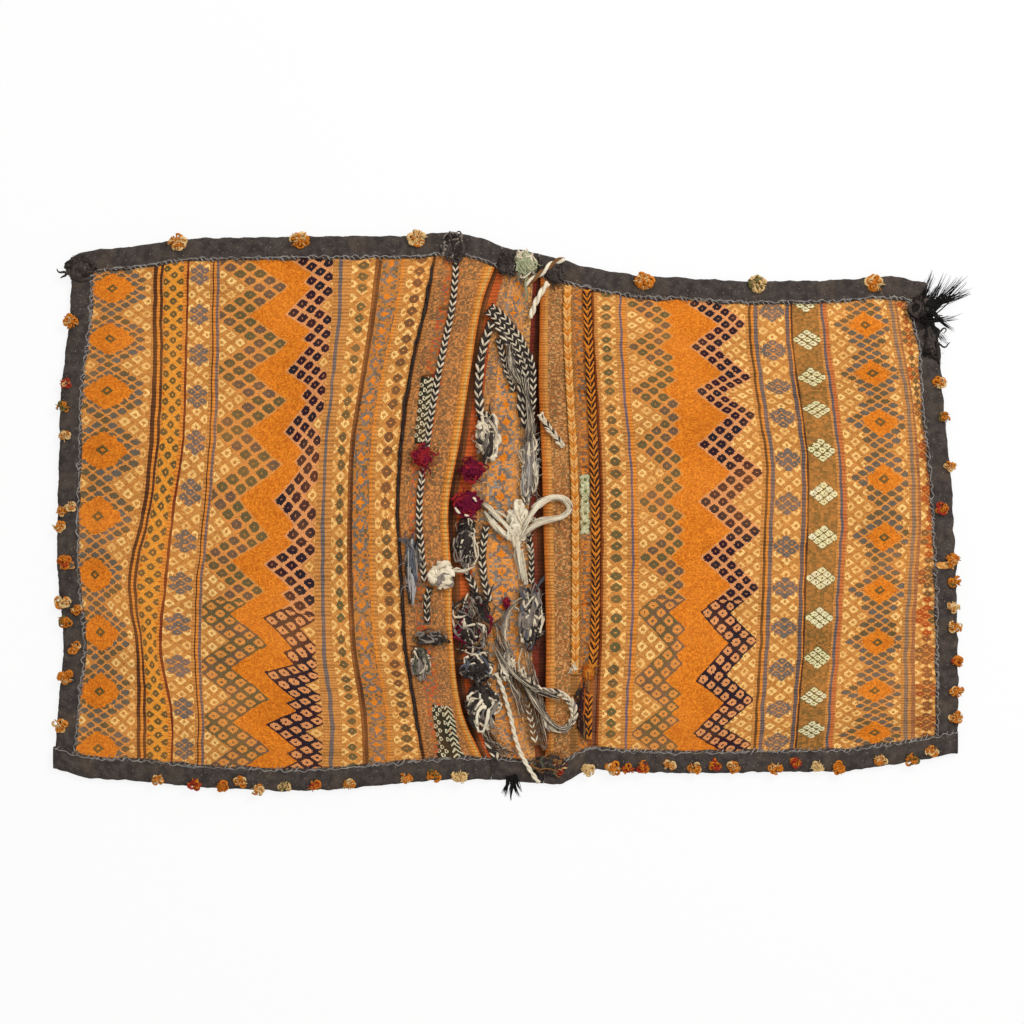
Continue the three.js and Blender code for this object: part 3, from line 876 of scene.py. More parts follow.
@dataclass(frozen=True)
class Weave(Finish):
    """A woven band, drawn wrap by wrap."""

    fleck: float = 0.44
    roughness: float = 0.92

    def figure(self, canvas: Canvas, s: Value, q: Value) -> Value:
        """Paint of the figure at the middle of a wrap."""
        raise NotImplementedError

    def draw(self, canvas: Canvas) -> bpy.types.Material:
        """Draws the figure in wraps that differ a little, fades it here and there and raises each wrap.

        Args:
            canvas: Where it is drawn.

        Returns:
            The material.
        """
        true_s, q = canvas.place()
        s = true_s + (canvas.noise(true_s, q, 26) - 0.5) * 3.0
        column = (s / WRAP).floor()
        row = (q / WEFT).floor()
        paint = self.figure(canvas, (column + 0.5) * WRAP, (row + 0.5) * WEFT)
        fleck = canvas.chance(column, row)
        strength = fleck * self.fleck + (1.05 - self.fleck / 2)
        fade = canvas.noise(true_s, q, 70, 2.0, offset=900)
        strength = strength * (fade * 0.5 + 0.76)
        faded = canvas.mix(((fade - 0.45) * 0.8).larger(0.0), canvas.shade(paint, strength), TAN)
        across = ((s / WRAP).fraction() - 0.5).size()
        down = ((q / WEFT).fraction() - 0.5).size()
        height = (across * across + down * down).flip() * (fleck * 0.5 + 0.5)
        return canvas.done(faded, height, 0.5, self.roughness)


def florets(canvas: Canvas, s: Value, q: Value, start: float = 0.0) -> Value:
    """Ground full of small cream flowers.

    Args:
        canvas: Where it is drawn.
        s: Place along the bag.
        q: Place across it.
        start: Where along the bag a flower has its middle.

    Returns:
        The paint.
    """
    cell = canvas.lattice(s, q, 9.6, HALF_ROW / 4, start)
    radius = (cell.ds * cell.ds * 0.8 + cell.dq * cell.dq).root()
    notch = (cell.ds * cell.dq).size() / (radius + 0.6)
    petals = radius + notch * 0.7
    flower = petals.below(5.0) * radius.above(1.75)
    mottle = canvas.chance((s / 2.9).floor(), (q / 2.3).floor(), offset=7)
    ground = canvas.mix(mottle * 0.8, TAN, PALE_TAN)
    petal = canvas.mix(canvas.chance(cell.s, cell.q), CREAM, DEEP_CREAM)
    return canvas.mix(flower, ground, petal)


def rounded(cell: Cell, wide: float, high: float) -> Value:
    """Distance from the middle of a cell for a lozenge with rounded corners.

    Args:
        cell: The cell.
        wide: Its half width in millimetres.
        high: Its half height in millimetres.

    Returns:
        The distance, 1 at the lattice lines.
    """
    across = cell.ds / wide
    down = cell.dq / high
    return (cell.reach + (across * across + down * down).root()) * 0.5


def mottled_orange(canvas: Canvas, s: Value, q: Value) -> Value:
    """Plain orange ground with a fine uneven grain.

    Args:
        canvas: Where it is drawn.
        s: Place along the bag.
        q: Place across it.

    Returns:
        The paint.
    """
    grain = canvas.chance(((s + q) / 2.6).floor(), ((s - q) / 2.6).floor(), offset=3)
    return canvas.mix(grain * 0.75, ORANGE, DEEP_ORANGE)


@dataclass(frozen=True)
class Zigzag(Weave):
    """The wide field: florets, an olive zigzag, an orange one, a dark purple one and florets.

    Each edge of a zigzag is its place on even rows and how far it goes on odd ones.
    """

    olive: tuple[tuple[float, float], tuple[float, float]] = ((-328, 32), (-291, 33))
    orange: tuple[tuple[float, float], tuple[float, float]] = ((-307, 30), (-236, 30))
    purple: tuple[tuple[float, float], tuple[float, float]] = ((-255, 29), (-219, 27))
    olive_cell: tuple[float, float] = (10.6, -302.4)
    purple_cell: tuple[float, float] = (9.6, -244.0)
    inverted_from: float = 9.5

    def figure(self, canvas: Canvas, s: Value, q: Value) -> Value:
        """Zigzags over florets.

        Args:
            canvas: Where it is drawn.
            s: Place along the bag.
            q: Place across it.

        Returns:
            The paint.
        """
        inverted = q.above(self.inverted_from * HALF_ROW)
        olive = canvas.lattice(s, q, self.olive_cell[0], HALF_ROW / 4, self.olive_cell[1])
        purple = canvas.lattice(s, q, self.purple_cell[0], HALF_ROW / 4, self.purple_cell[1])
        in_olive = self.inside(olive, self.olive)
        in_purple = self.inside(purple, self.purple)
        row = q.swing(HALF_ROW) / HALF_ROW
        low, high = self.orange
        in_orange = s.above(row * low[1] + low[0]) * s.below(row * high[1] + high[0])
        kind = canvas.chance(olive.s, olive.q)
        olive_paint = canvas.mix(kind, OLIVE, canvas.mix(kind.above(0.6), GREEN, EARTH))
        purple_paint = canvas.mix(canvas.chance(purple.s, purple.q), PURPLE, SLATE)
        paint = florets(canvas, s, q, self.olive_cell[1])
        paint = canvas.mix(in_orange, paint, mottled_orange(canvas, s, q))
        olive_reach = rounded(olive, self.olive_cell[0], HALF_ROW / 4)
        paint = canvas.mix(in_olive, paint, self.lozenge(canvas, olive_reach, inverted, olive_paint, LATTICE))
        purple_reach = rounded(purple, self.purple_cell[0], HALF_ROW / 4)
        purple_lozenges = self.lozenge(canvas, purple_reach, inverted, purple_paint, PALE_ROSE)
        return canvas.mix(in_purple, paint, purple_lozenges)

    @staticmethod
    def inside(cell: Cell, edges: tuple[tuple[float, float], tuple[float, float]]) -> Value:
        """Tells which cells are part of a zigzag.

        Args:
            cell: The cell at each place.
            edges: Left and right edge of the zigzag.

        Returns:
            1 where the cell's middle is between the edges.
        """
        row = cell.q.swing(HALF_ROW) / HALF_ROW
        left = row * edges[0][1] + edges[0][0]
        right = row * edges[1][1] + edges[1][0]
        return cell.s.above(left) * cell.s.below(right)

    @staticmethod
    def lozenge(canvas: Canvas, reach: Value, inverted: Value, dark: Value, light: Rgb) -> Value:
        """Dark lozenges with a lighter heart between light lines, and the other way round where inverted.

        Args:
            canvas: Where it is drawn.
            reach: Distance from the middle of the cell.
            inverted: 1 where light and dark change places.
            dark: Dark paint.
            light: Light paint.

        Returns:
            The paint.
        """
        body = reach.below(0.66)
        heart = canvas.mix(reach.below(0.13) * 0.5, dark, light)
        plain = canvas.mix(body, light, heart)
        turned = canvas.mix(reach.below(0.6) * reach.above(0.16), dark, light)
        return canvas.mix(inverted, plain, turned)


@dataclass(frozen=True)
class LozengeColumn(Weave):
    """Large orange lozenges in a blue-grey lattice, with florets between."""

    middle: float = -442
    half: float = 40
    paint: Rgb = BLUE_GREY
    core: float = 0.6
    roundness: float = 0.5

    def figure(self, canvas: Canvas, s: Value, q: Value) -> Value:
        """Column of large lozenges.

        Args:
            canvas: Where it is drawn.
            s: Place along the bag.
            q: Place across it.

        Returns:
            The paint.
        """
        cell = canvas.lattice(s, q, 7.8, HALF_ROW / 6, self.middle)
        reach = self.reach(cell.s, cell.q)
        away = (s - self.middle) / self.half
        down = (q.swing(HALF_ROW) / HALF_ROW).flip()
        disc = (away * away + down * down).root()
        scallop = canvas.noise(s, q, 5.0, offset=33) * 0.2
        measure = self.reach(s, q) * (1 - self.roundness) + disc * self.roundness
        core = (measure + scallop).below(self.core + 0.12)
        net = reach.below(1.12)
        body = rounded(cell, 7.8, HALF_ROW / 6).below(0.7)
        kind = canvas.chance(cell.s, cell.q)
        dark = canvas.mix(kind, self.paint, OLIVE)
        paint = canvas.mix(net, florets(canvas, s, q, self.middle), canvas.mix(body, LATTICE, dark))
        paint = canvas.mix(core, paint, mottled_orange(canvas, s, q))
        ring = self.reach(s, q)
        return canvas.mix(ring.below(0.17) * ring.above(0.06), paint, MOSS)

    def reach(self, s: Value, q: Value) -> Value:
        """Distance from the middle of the nearest large lozenge.

        Args:
            s: Place along the bag.
            q: Place across it.

        Returns:
            The distance, 1 at the lattice lines.
        """
        down = q.swing(HALF_ROW) / HALF_ROW
        return (s - self.middle).size() / self.half + down.flip()


@dataclass(frozen=True)
class Motifs(Weave):
    """Clusters of small lozenges on florets."""

    middle: float = -347
    half: tuple[float, float] = (12, 13)
    pitch: float = 1.5
    phase: float = 0.0
    dark: tuple[Rgb, Rgb] = (BLUE_GREY, (128, 108, 96))
    ground: tuple[Rgb, Rgb] | None = None
    cell: tuple[float, float] = (6.4, 4.6)
    body: tuple[float, float] = (0.14, 0.8)
    light: Rgb = LATTICE

    def figure(self, canvas: Canvas, s: Value, q: Value) -> Value:
        """Clusters on their ground.

        Args:
            canvas: Where it is drawn.
            s: Place along the bag.
            q: Place across it.

        Returns:
            The paint.
        """
        pitch = self.pitch * HALF_ROW
        offset = q - self.phase * HALF_ROW
        number = (offset / pitch).nearest()
        down = offset - number * pitch
        cell = canvas.lattice(s, down, self.cell[0], self.cell[1], self.middle)
        reach = (cell.s - self.middle).size() / self.half[0] + cell.q.size() / self.half[1]
        body = rounded(cell, self.cell[0], self.cell[1])
        body = body.below(self.body[1]) * body.above(self.body[0])
        dark = canvas.mix(canvas.chance(number, cell.s), self.dark[0], self.dark[1])
        if self.ground is None:
            ground = florets(canvas, s, q, self.middle)
        else:
            mottle = canvas.chance((s / 3.2).floor(), (q / 2.4).floor(), offset=5)
            ground = canvas.mix(mottle, self.ground[0], self.ground[1])
        return canvas.mix(reach.below(1.06), ground, canvas.mix(body, self.light, dark))


@dataclass(frozen=True)
class Stripes(Weave):
    """Plain stripes along the warp with ribs across them."""

    low: float = 0.0
    high: float = 1.0
    stops: tuple[tuple[float, Rgb], ...] = ()
    rib: float = 3.7

    def figure(self, canvas: Canvas, s: Value, q: Value) -> Value:
        """Stripes with ribs.

        Args:
            canvas: Where it is drawn.
            s: Place along the bag.
            q: Place across it.

        Returns:
            The paint.
        """
        paint = canvas.steps(s, self.low, self.high, self.stops)
        tick = (q / self.rib).fraction().below(0.42)
        return canvas.shade(paint, tick * -0.4 + 1.08)


@dataclass(frozen=True)
class Confetti(Weave):
    """A speckle of small coloured wraps, with a row of orange blobs."""

    middle: float = -146
    paints: tuple[Rgb, Rgb, Rgb, Rgb] = (TAN, BLUE_GREY, OLIVE, (206, 120, 56))
    blob: float | None = 18.5
    share: float = 0.45
    cell: tuple[float, float] = (2.4, 2.1)
    ring: Rgb = (122, 112, 102)
    heart: Rgb = (228, 130, 34)

    def figure(self, canvas: Canvas, s: Value, q: Value) -> Value:
        """Speckle with its blobs.

        Args:
            canvas: Where it is drawn.
            s: Place along the bag.
            q: Place across it.

        Returns:
            The paint.
        """
        column = (s / self.cell[0]).floor()
        row = (q / self.cell[1]).floor()
        chance = canvas.chance(column, row, offset=17)
        paint = canvas.mix(chance.above(1 - self.share), self.paints[0], self.paints[1])
        paint = canvas.mix(chance.above(1 - self.share * 0.62), paint, self.paints[2])
        paint = canvas.mix(chance.above(1 - self.share * 0.3), paint, self.paints[3])
        if self.blob is None:
            return paint
        down = ((q / self.blob).fraction() - 0.5) * self.blob
        side = s - self.middle
        away = (side.size() + down.size()) / 6.8 + canvas.chance(column, row, offset=29) * 0.35
        ringed = canvas.mix(away.below(1.45) * chance.above(0.25), paint, self.ring)
        return canvas.mix(away.below(0.82) * away.above(0.2), ringed, self.heart)


@dataclass(frozen=True)
class Felt(Finish):
    """Dusty charcoal felt."""

    paint: Rgb = (60, 54, 52)
    worn: Rgb = (96, 86, 78)
    stained: Rgb = (98, 82, 68)
    dusty: Rgb = (150, 134, 116)

    def draw(self, canvas: Canvas) -> bpy.types.Material:
        """Draws cloudy felt with pale dust and hairs.

        Args:
            canvas: Where it is drawn.

        Returns:
            The material.
        """
        s, q = canvas.place()
        cloud = canvas.noise(s, q, 9, 3.0)
        hairs = canvas.noise(s * 0.35, q, 0.9, 2.0, offset=50)
        patch = canvas.noise(s, q, 38, 2.0, offset=160)
        paint = canvas.mix((cloud - 0.35).larger(0.0) * 1.6, self.paint, self.worn)
        paint = canvas.mix((patch - 0.52).larger(0.0) * 1.6, paint, self.stained)
        dust = canvas.noise(s, q, 2.6, 2.0, offset=400).above(0.715)
        paint = canvas.mix(dust * 0.6, paint, self.dusty)
        paint = canvas.shade(paint, hairs * 0.7 + 0.62)
        return canvas.done(paint, cloud + hairs * 0.6, 0.9, 0.95)


@dataclass(frozen=True)
class Yarn(Finish):
    """Spun wool, streaked along its length."""

    paint: Rgb = (220, 205, 180)
    streak: Rgb = (150, 130, 108)
    amount: float = 0.5
    length: float = 5.0

    def draw(self, canvas: Canvas) -> bpy.types.Material:
        """Draws fibres that run along the yarn, a little slanting.

        Args:
            canvas: Where it is drawn.

        Returns:
            The material.
        """
        run, turn = canvas.place()
        fibre = canvas.noise(run / self.length, turn * 1.3 + run * 0.35, 0.8, 2.0)
        patch = canvas.noise(run, turn, 11, 1.0, offset=70)
        share = ((fibre - 0.5) * 3.0 + (patch - 0.5) * 2.0 + 0.5).larger(0.0).smaller(1.0)
        paint = canvas.mix(share * self.amount, self.paint, self.streak)
        return canvas.done(paint, fibre, 0.7, 0.9)


BROWN_BLACK = Yarn("brown black wool", (66, 36, 34), (40, 30, 34), 0.6)
CHARCOAL = Yarn("dark wool", (44, 38, 36), (86, 76, 70), 0.6)
WHITE_WOOL = Yarn("white wool", (252, 236, 206), (184, 160, 128), 0.45)
CREAM_WOOL = Yarn("cream wool", (255, 244, 218), (230, 206, 168), 0.45, 12.0)
GREY_WOOL = Yarn("grey wool", (164, 150, 138), (96, 86, 78), 0.6)
PALE_GREY = Yarn("pale grey yarn", (196, 190, 184), (132, 126, 122), 0.5)
PEACH_WOOL = Yarn("peach wool", (255, 200, 118), (226, 142, 62), 0.5)
GOLD_WOOL = Yarn("gold wool", (240, 152, 52), (196, 106, 34), 0.4)
BROWN_WOOL = Yarn("brown wool", (150, 104, 62), (96, 66, 42), 0.6)
RED_RAG = Yarn("red rag", (182, 44, 50), (116, 24, 34), 0.6)
MAROON_RAG = Yarn("maroon rag", (134, 26, 58), (74, 14, 34), 0.6)
BLUE_RAG = Yarn("blue grey rag", (108, 112, 122), (64, 62, 68), 0.6)
OLIVE_RAG = Yarn("olive rag", (104, 104, 84), (66, 66, 54), 0.6)
ORANGE_RAG = Yarn("orange rag", (206, 104, 30), (150, 70, 30), 0.5)
GREEN_WOOL = Yarn("green wool", (196, 198, 160), (140, 142, 100), 0.6)
ORANGE_YARN = Yarn("orange tuft yarn", (228, 140, 44), (176, 88, 26), 0.5)
PALE_YARN = Yarn("pale tuft yarn", (244, 208, 146), (206, 158, 92), 0.5)
RED_YARN = Yarn("red tuft yarn", (190, 66, 44), (136, 40, 30), 0.5)
OLIVE_YARN = Yarn("olive tuft yarn", (128, 118, 68), (84, 74, 44), 0.5)
BLACK_HAIR = Yarn("black hair", (22, 20, 20), (52, 48, 46), 0.6, 14.0)
FELT = Felt("charcoal felt")


def publish(made: bpy.types.Object, slot: Slot, *nodes: str) -> None:
    """Lets a piece ride on the bag and reports it.

    Args:
        made: The piece.
        slot: Material slot of the record that it stands for; not used.
        nodes: CAD nodes in whose place it stands, if any.
    """
    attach(made, "root")
    if nodes:
        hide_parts(*nodes)
    log.info("%s: %d faces", made.name, len(made.data.polygons))


# Camera, floor and light


@dataclass(frozen=True)
class Studio:
    """Camera straight above, a plain pale floor, and soft light."""

    focal: float = 100.0
    distance: float = 3.13
    middle: tuple[float, float] = (0.0066, -0.0011)
    floor_half: float = 6.0
    floor_drop: float = 0.2
    sky: Rgba = (1.0, 0.99, 0.98, 1.0)
    sky_strength: float = 0.62
    window_side: float = 1.6
    window_power: float = 62.0
    window_place: Point = (1.5, 1.7, 2.6)

    def camera(self) -> None:
        """Sets the camera above the bag, with its upper edge up in the picture."""
        data = bpy.data.cameras.new("above")
        data.lens = self.focal
        data.clip_end = 50
        made = show("above", data)
        made.location = (*self.middle, self.distance)
        bpy.context.scene.camera = made

    def floor(self) -> None:
        """Lays the floor just under the bag."""
        half = self.floor_half
        mesh = bpy.data.meshes.new("floor")
        corners = [(-half, -half, 0), (half, -half, 0), (half, half, 0), (-half, half, 0)]
        mesh.from_pydata(corners, [], [(0, 1, 2, 3)])
        mesh.materials.append(FloorPaint("floor paint").material())
        made = show("floor", mesh)
        made.location.z = -self.floor_drop * MM

    def light(self) -> None:
        """Soft light from all round and a large lamp from the upper right."""
        scene = bpy.context.scene
        scene.view_settings.view_transform = "Standard"
        world = bpy.data.worlds.new("studio")
        scene.world = world
        world.use_nodes = True
        tree = world.node_tree
        tree.nodes.clear()
        out = tree.nodes.new("ShaderNodeOutputWorld")
        soft = tree.nodes.new("ShaderNodeBackground")
        soft.inputs[0].default_value = self.sky
        soft.inputs[1].default_value = self.sky_strength
        tree.links.new(soft.outputs[0], out.inputs[0])
        lamp = bpy.data.lights.new("window", "AREA")
        lamp.shape = "RECTANGLE"
        lamp.size = self.window_side
        lamp.size_y = self.window_side
        lamp.energy = self.window_power
        made = show("window", lamp)
        made.location = self.window_place
        made.rotation_euler = (-made.location).to_track_quat("-Z", "Y").to_euler()


@dataclass(frozen=True)
class FloorPaint(Finish):
    """Smooth white paint, which the camera sees as mostly plain white."""

    glow: float = 0.86
    cloud_scale: float = 0.8
    dim: Rgb = (248, 248, 248)
    bright: Rgb = (252, 252, 252)

    def draw(self, canvas: Canvas) -> bpy.types.Material:
        """Draws an almost even white, brightened for the camera's own rays only.

        Args:
            canvas: Where it is drawn.

        Returns:
            The material.
        """
        cloud = canvas.node("TexNoise", canvas.out(canvas.node("TexCoord"), "Object"))
        feed(cloud.inputs["Scale"], self.cloud_scale)
        even = canvas.out(cloud)
        made = canvas.done(canvas.mix(even, self.dim, self.bright), even, 0.01, 0.9)
        out = next(node for node in canvas.tree.nodes if node.type == "OUTPUT_MATERIAL")
        painted = Value(canvas.tree, out.inputs[0].links[0].from_socket)
        seen = canvas.out(canvas.node("LightPath"), "Is Camera Ray") * self.glow
        white = canvas.out(canvas.node("Emission"))
        feed(out.inputs[0], canvas.out(canvas.node("MixShader", seen, painted, white)))
        return made


# Braids and cords


@dataclass(frozen=True)
class Guide:
    """A path with its sides, for what is laid along it."""

    path: Array

    @property
    def run(self) -> Array:
        """Length up to each point."""
        return run_along(self.path)

    @property
    def sides(self) -> tuple[Array, Array]:
        """Directions to the side and up.

        Returns:
            The two directions at each point of the path.
        """
        tangent = np.gradient(self.path, axis=0)
        tangent /= np.linalg.norm(tangent, axis=1, keepdims=True)
        side = np.cross(tangent, [0, 0, 1.0])
        side /= np.maximum(np.linalg.norm(side, axis=1, keepdims=True), 1e-6)
        return side, np.cross(side, tangent)

    def at(self, run: Array, aside: Array, above: Array) -> Array:
        """Points beside the path.

        Args:
            run: How far along the path each lies.
            aside: How far to its side.
            above: How far above it.

        Returns:
            The points, one row each.
        """
        own = self.run
        side, up = self.sides
        found = [
            np.interp(run, own, self.path[:, axis])
            + aside * np.interp(run, own, side[:, axis])
            + above * np.interp(run, own, up[:, axis])
            for axis in range(3)
        ]
        return np.stack(found, axis=1)


@dataclass(frozen=True)
class Plait:
    """Leaves of yarn laid in chevrons along a path, like grains on an ear of wheat."""

    path: Array
    width: float
    thick: float
    pitch: float
    tints: tuple[int, ...]
    jitter: float
    seed: int
    shift: float = 0.0

    def add_to(self, parts: Parts) -> None:
        """Adds the leaves of both sides.

        Args:
            parts: The piece that they go to.
        """
        rng = np.random.default_rng(self.seed)
        guide = Guide(self.path)
        total = length_of(self.path)
        count = max(3, round(total / self.pitch))
        lean = 0.8 * self.width
        reach = 0.42 * self.width
        radius = 0.58 * self.pitch * reach / math.hypot(lean, reach)
        profile = np.array([0.45, 0.95, 1.05, 0.95, 0.5])
        share = np.linspace(0, 1, len(profile))
        flat = min(1.4, 0.34 * self.thick / radius)
        for index in range(count):
            start = index * total / count - 0.5 * lean
            tint = self.tints[index % len(self.tints)]
            for sign in (-1, 1):
                wobble = 1 + rng.normal(0, self.jitter)
                run = np.clip(start + share * lean * wobble, 0, total)
                aside = self.shift + sign * reach * (1.0 - 0.95 * share) * wobble
                above = self.thick * 0.16 * np.sin(math.pi * (0.2 + 0.6 * share))
                above = above + rng.normal(0, self.jitter * self.thick * 0.4)
                line = guide.at(run, aside, above)
                parts.add_tube(line, radius * profile * wobble, 6, flat, index * 13.7 + 5.1 * sign, tint)


@dataclass(frozen=True)
class Strands:
    """Loose strands that wander along a path."""

    path: Array
    spread: float
    radius: float
    count: int
    cover: tuple[float, float] = (0.9, 1.0)
    tints: tuple[int, ...] = (0,)
    sides: int = 4
    seed: int = 1
    spacing: float = 4.5
    rise: float = 0.8

    def add_to(self, parts: Parts) -> None:
        """Adds the strands, each over its own stretch of the path.

        Args:
            parts: The piece that they go to.
        """
        rng = np.random.default_rng(self.seed + 300)
        guide = Guide(self.path)
        total = length_of(self.path)
        for index in range(self.count):
            cover = rng.uniform(*self.cover)
            start = rng.uniform(0, 1 - cover)
            steps = max(6, round(total * cover / self.spacing))
            share = np.linspace(0, 1, steps)
            run = (start + cover * share) * total
            angle = rng.uniform(0, 2 * math.pi) + rng.normal(0, 1.6) * share
            waves = rng.uniform(0, 6.3) + share * total * cover / rng.uniform(9, 18)
            away = self.spread * rng.uniform(0.25, 1.0) * (0.75 + 0.25 * np.sin(waves))
            line = guide.at(run, away * np.cos(angle), away * np.sin(angle) * self.rise)
            radii = self.radius * rng.uniform(0.6, 1.2) * np.sin(math.pi * (0.08 + 0.84 * share)) ** 0.4
            tint = self.tints[index % len(self.tints)]
            parts.add_tube(line, radii, self.sides, shift=23 * index, finish=tint)


@dataclass(frozen=True)
class Twist:
    """Plies of yarn twisted round each other along a path."""

    path: Array
    width: float
    turn: float
    tints: tuple[int, ...] = (0,)
    plies: int = 2

    def add_to(self, parts: Parts) -> None:
        """Adds the plies.

        Args:
            parts: The piece that they go to.
        """
        guide = Guide(self.path)
        side, up = guide.sides
        radii = np.full(len(self.path), self.width * 0.27)
        for ply in range(self.plies):
            angle = 2 * math.pi * (guide.run / self.turn + ply / self.plies)
            off = np.cos(angle)[:, None] * side + np.sin(angle)[:, None] * up
            line = self.path + off * (self.width * 0.23)
            parts.add_tube(line, radii, 6, shift=40 * ply, finish=self.tints[ply % len(self.tints)])


class Make(Enum):
    """How a free cord is made."""

    CHEVRON = "chevron plait"
    LOOSE = "loose wool"
    PLY = "twisted plies"
    RAGGED = "ragged plait"


@dataclass(frozen=True)
class FreeCord:
    """A free braid or cord. Its route and its diameter are in millimetres."""

    node: str
    make: Make
    slot: Slot
    diameter: float
    far_end: str
    finishes: tuple[Finish, ...]
    route: Route
    pitch: float = 0.46
    seed: int = 3
    double: bool = False
    frayed_from: float = 1.0

    def build(self) -> None:
        """Builds the cord and says what it is."""
        route = [tuple(value / MM_IN_METRE for value in point) for point in self.route]
        path = smooth_path(route, 0.002) / MM
        width = self.diameter
        tints = tuple(range(len(self.finishes)))
        parts = Parts()
        if self.make in (Make.CHEVRON, Make.RAGGED):
            self.plait(parts, path)
        elif self.make is Make.PLY:
            Twist(path, width, width * 3.4, tints).add_to(parts)
            Strands(path, width * 0.55, 0.28, 8, (0.2, 0.5), seed=self.seed).add_to(parts)
        else:
            self.fray(parts, path, tints)
        made = parts.build(f"{self.node}_yarn", self.finishes)
        publish(made, self.slot, self.node)

    def plait(self, parts: Parts, path: Array) -> None:
        """Plaits one braid or two side by side, and lets the rest of the path fray.

        Args:
            parts: The piece that they go to.
            path: Middle line of the cord.
        """
        width = self.diameter
        ragged = self.make is Make.RAGGED
        last = max(8, round(len(path) * self.frayed_from))
        kept = path[:last]
        tints = tuple(range(len(self.finishes))) if ragged else (0, 1)
        shifts = (-0.3 * width, 0.3 * width) if self.double else (0.0,)
        ply = width * (0.62 if self.double else 1.05)
        jitter = 0.24 if ragged else 0.09
        for number, shift in enumerate(shifts):
            seed = self.seed + number
            Plait(kept, ply, width * 0.62, ply * self.pitch, tints, jitter, seed, shift).add_to(parts)
        parts.add_core(kept, width * 0.42, width * 0.08, 0.5)
        loose = 26 if ragged else 12
        Strands(kept, width * 0.56, 0.3, loose, (0.1, 0.35), tints, seed=self.seed).add_to(parts)
        if last < len(path):
            self.fray(parts, path[last - 4 :], tuple(range(1, len(self.finishes))))

    def fray(self, parts: Parts, path: Array, tints: tuple[int, ...]) -> None:
        """Lays loose wool in place of a plait.

        Args:
            parts: The piece that it goes to.
            path: Middle line of the frayed stretch.
            tints: Numbers of its finishes.
        """
        width = self.diameter
        Strands(path, width * 0.24, width * 0.2, 6, (1.0, 1.0), tints, 6, self.seed).add_to(parts)
        Strands(path, width * 0.4, width * 0.11, 8, (0.6, 1.0), tints, seed=self.seed + 1).add_to(parts)
        Strands(path, width * 0.6, 0.3, 40, (0.2, 0.7), tints, seed=self.seed + 2).add_to(parts)


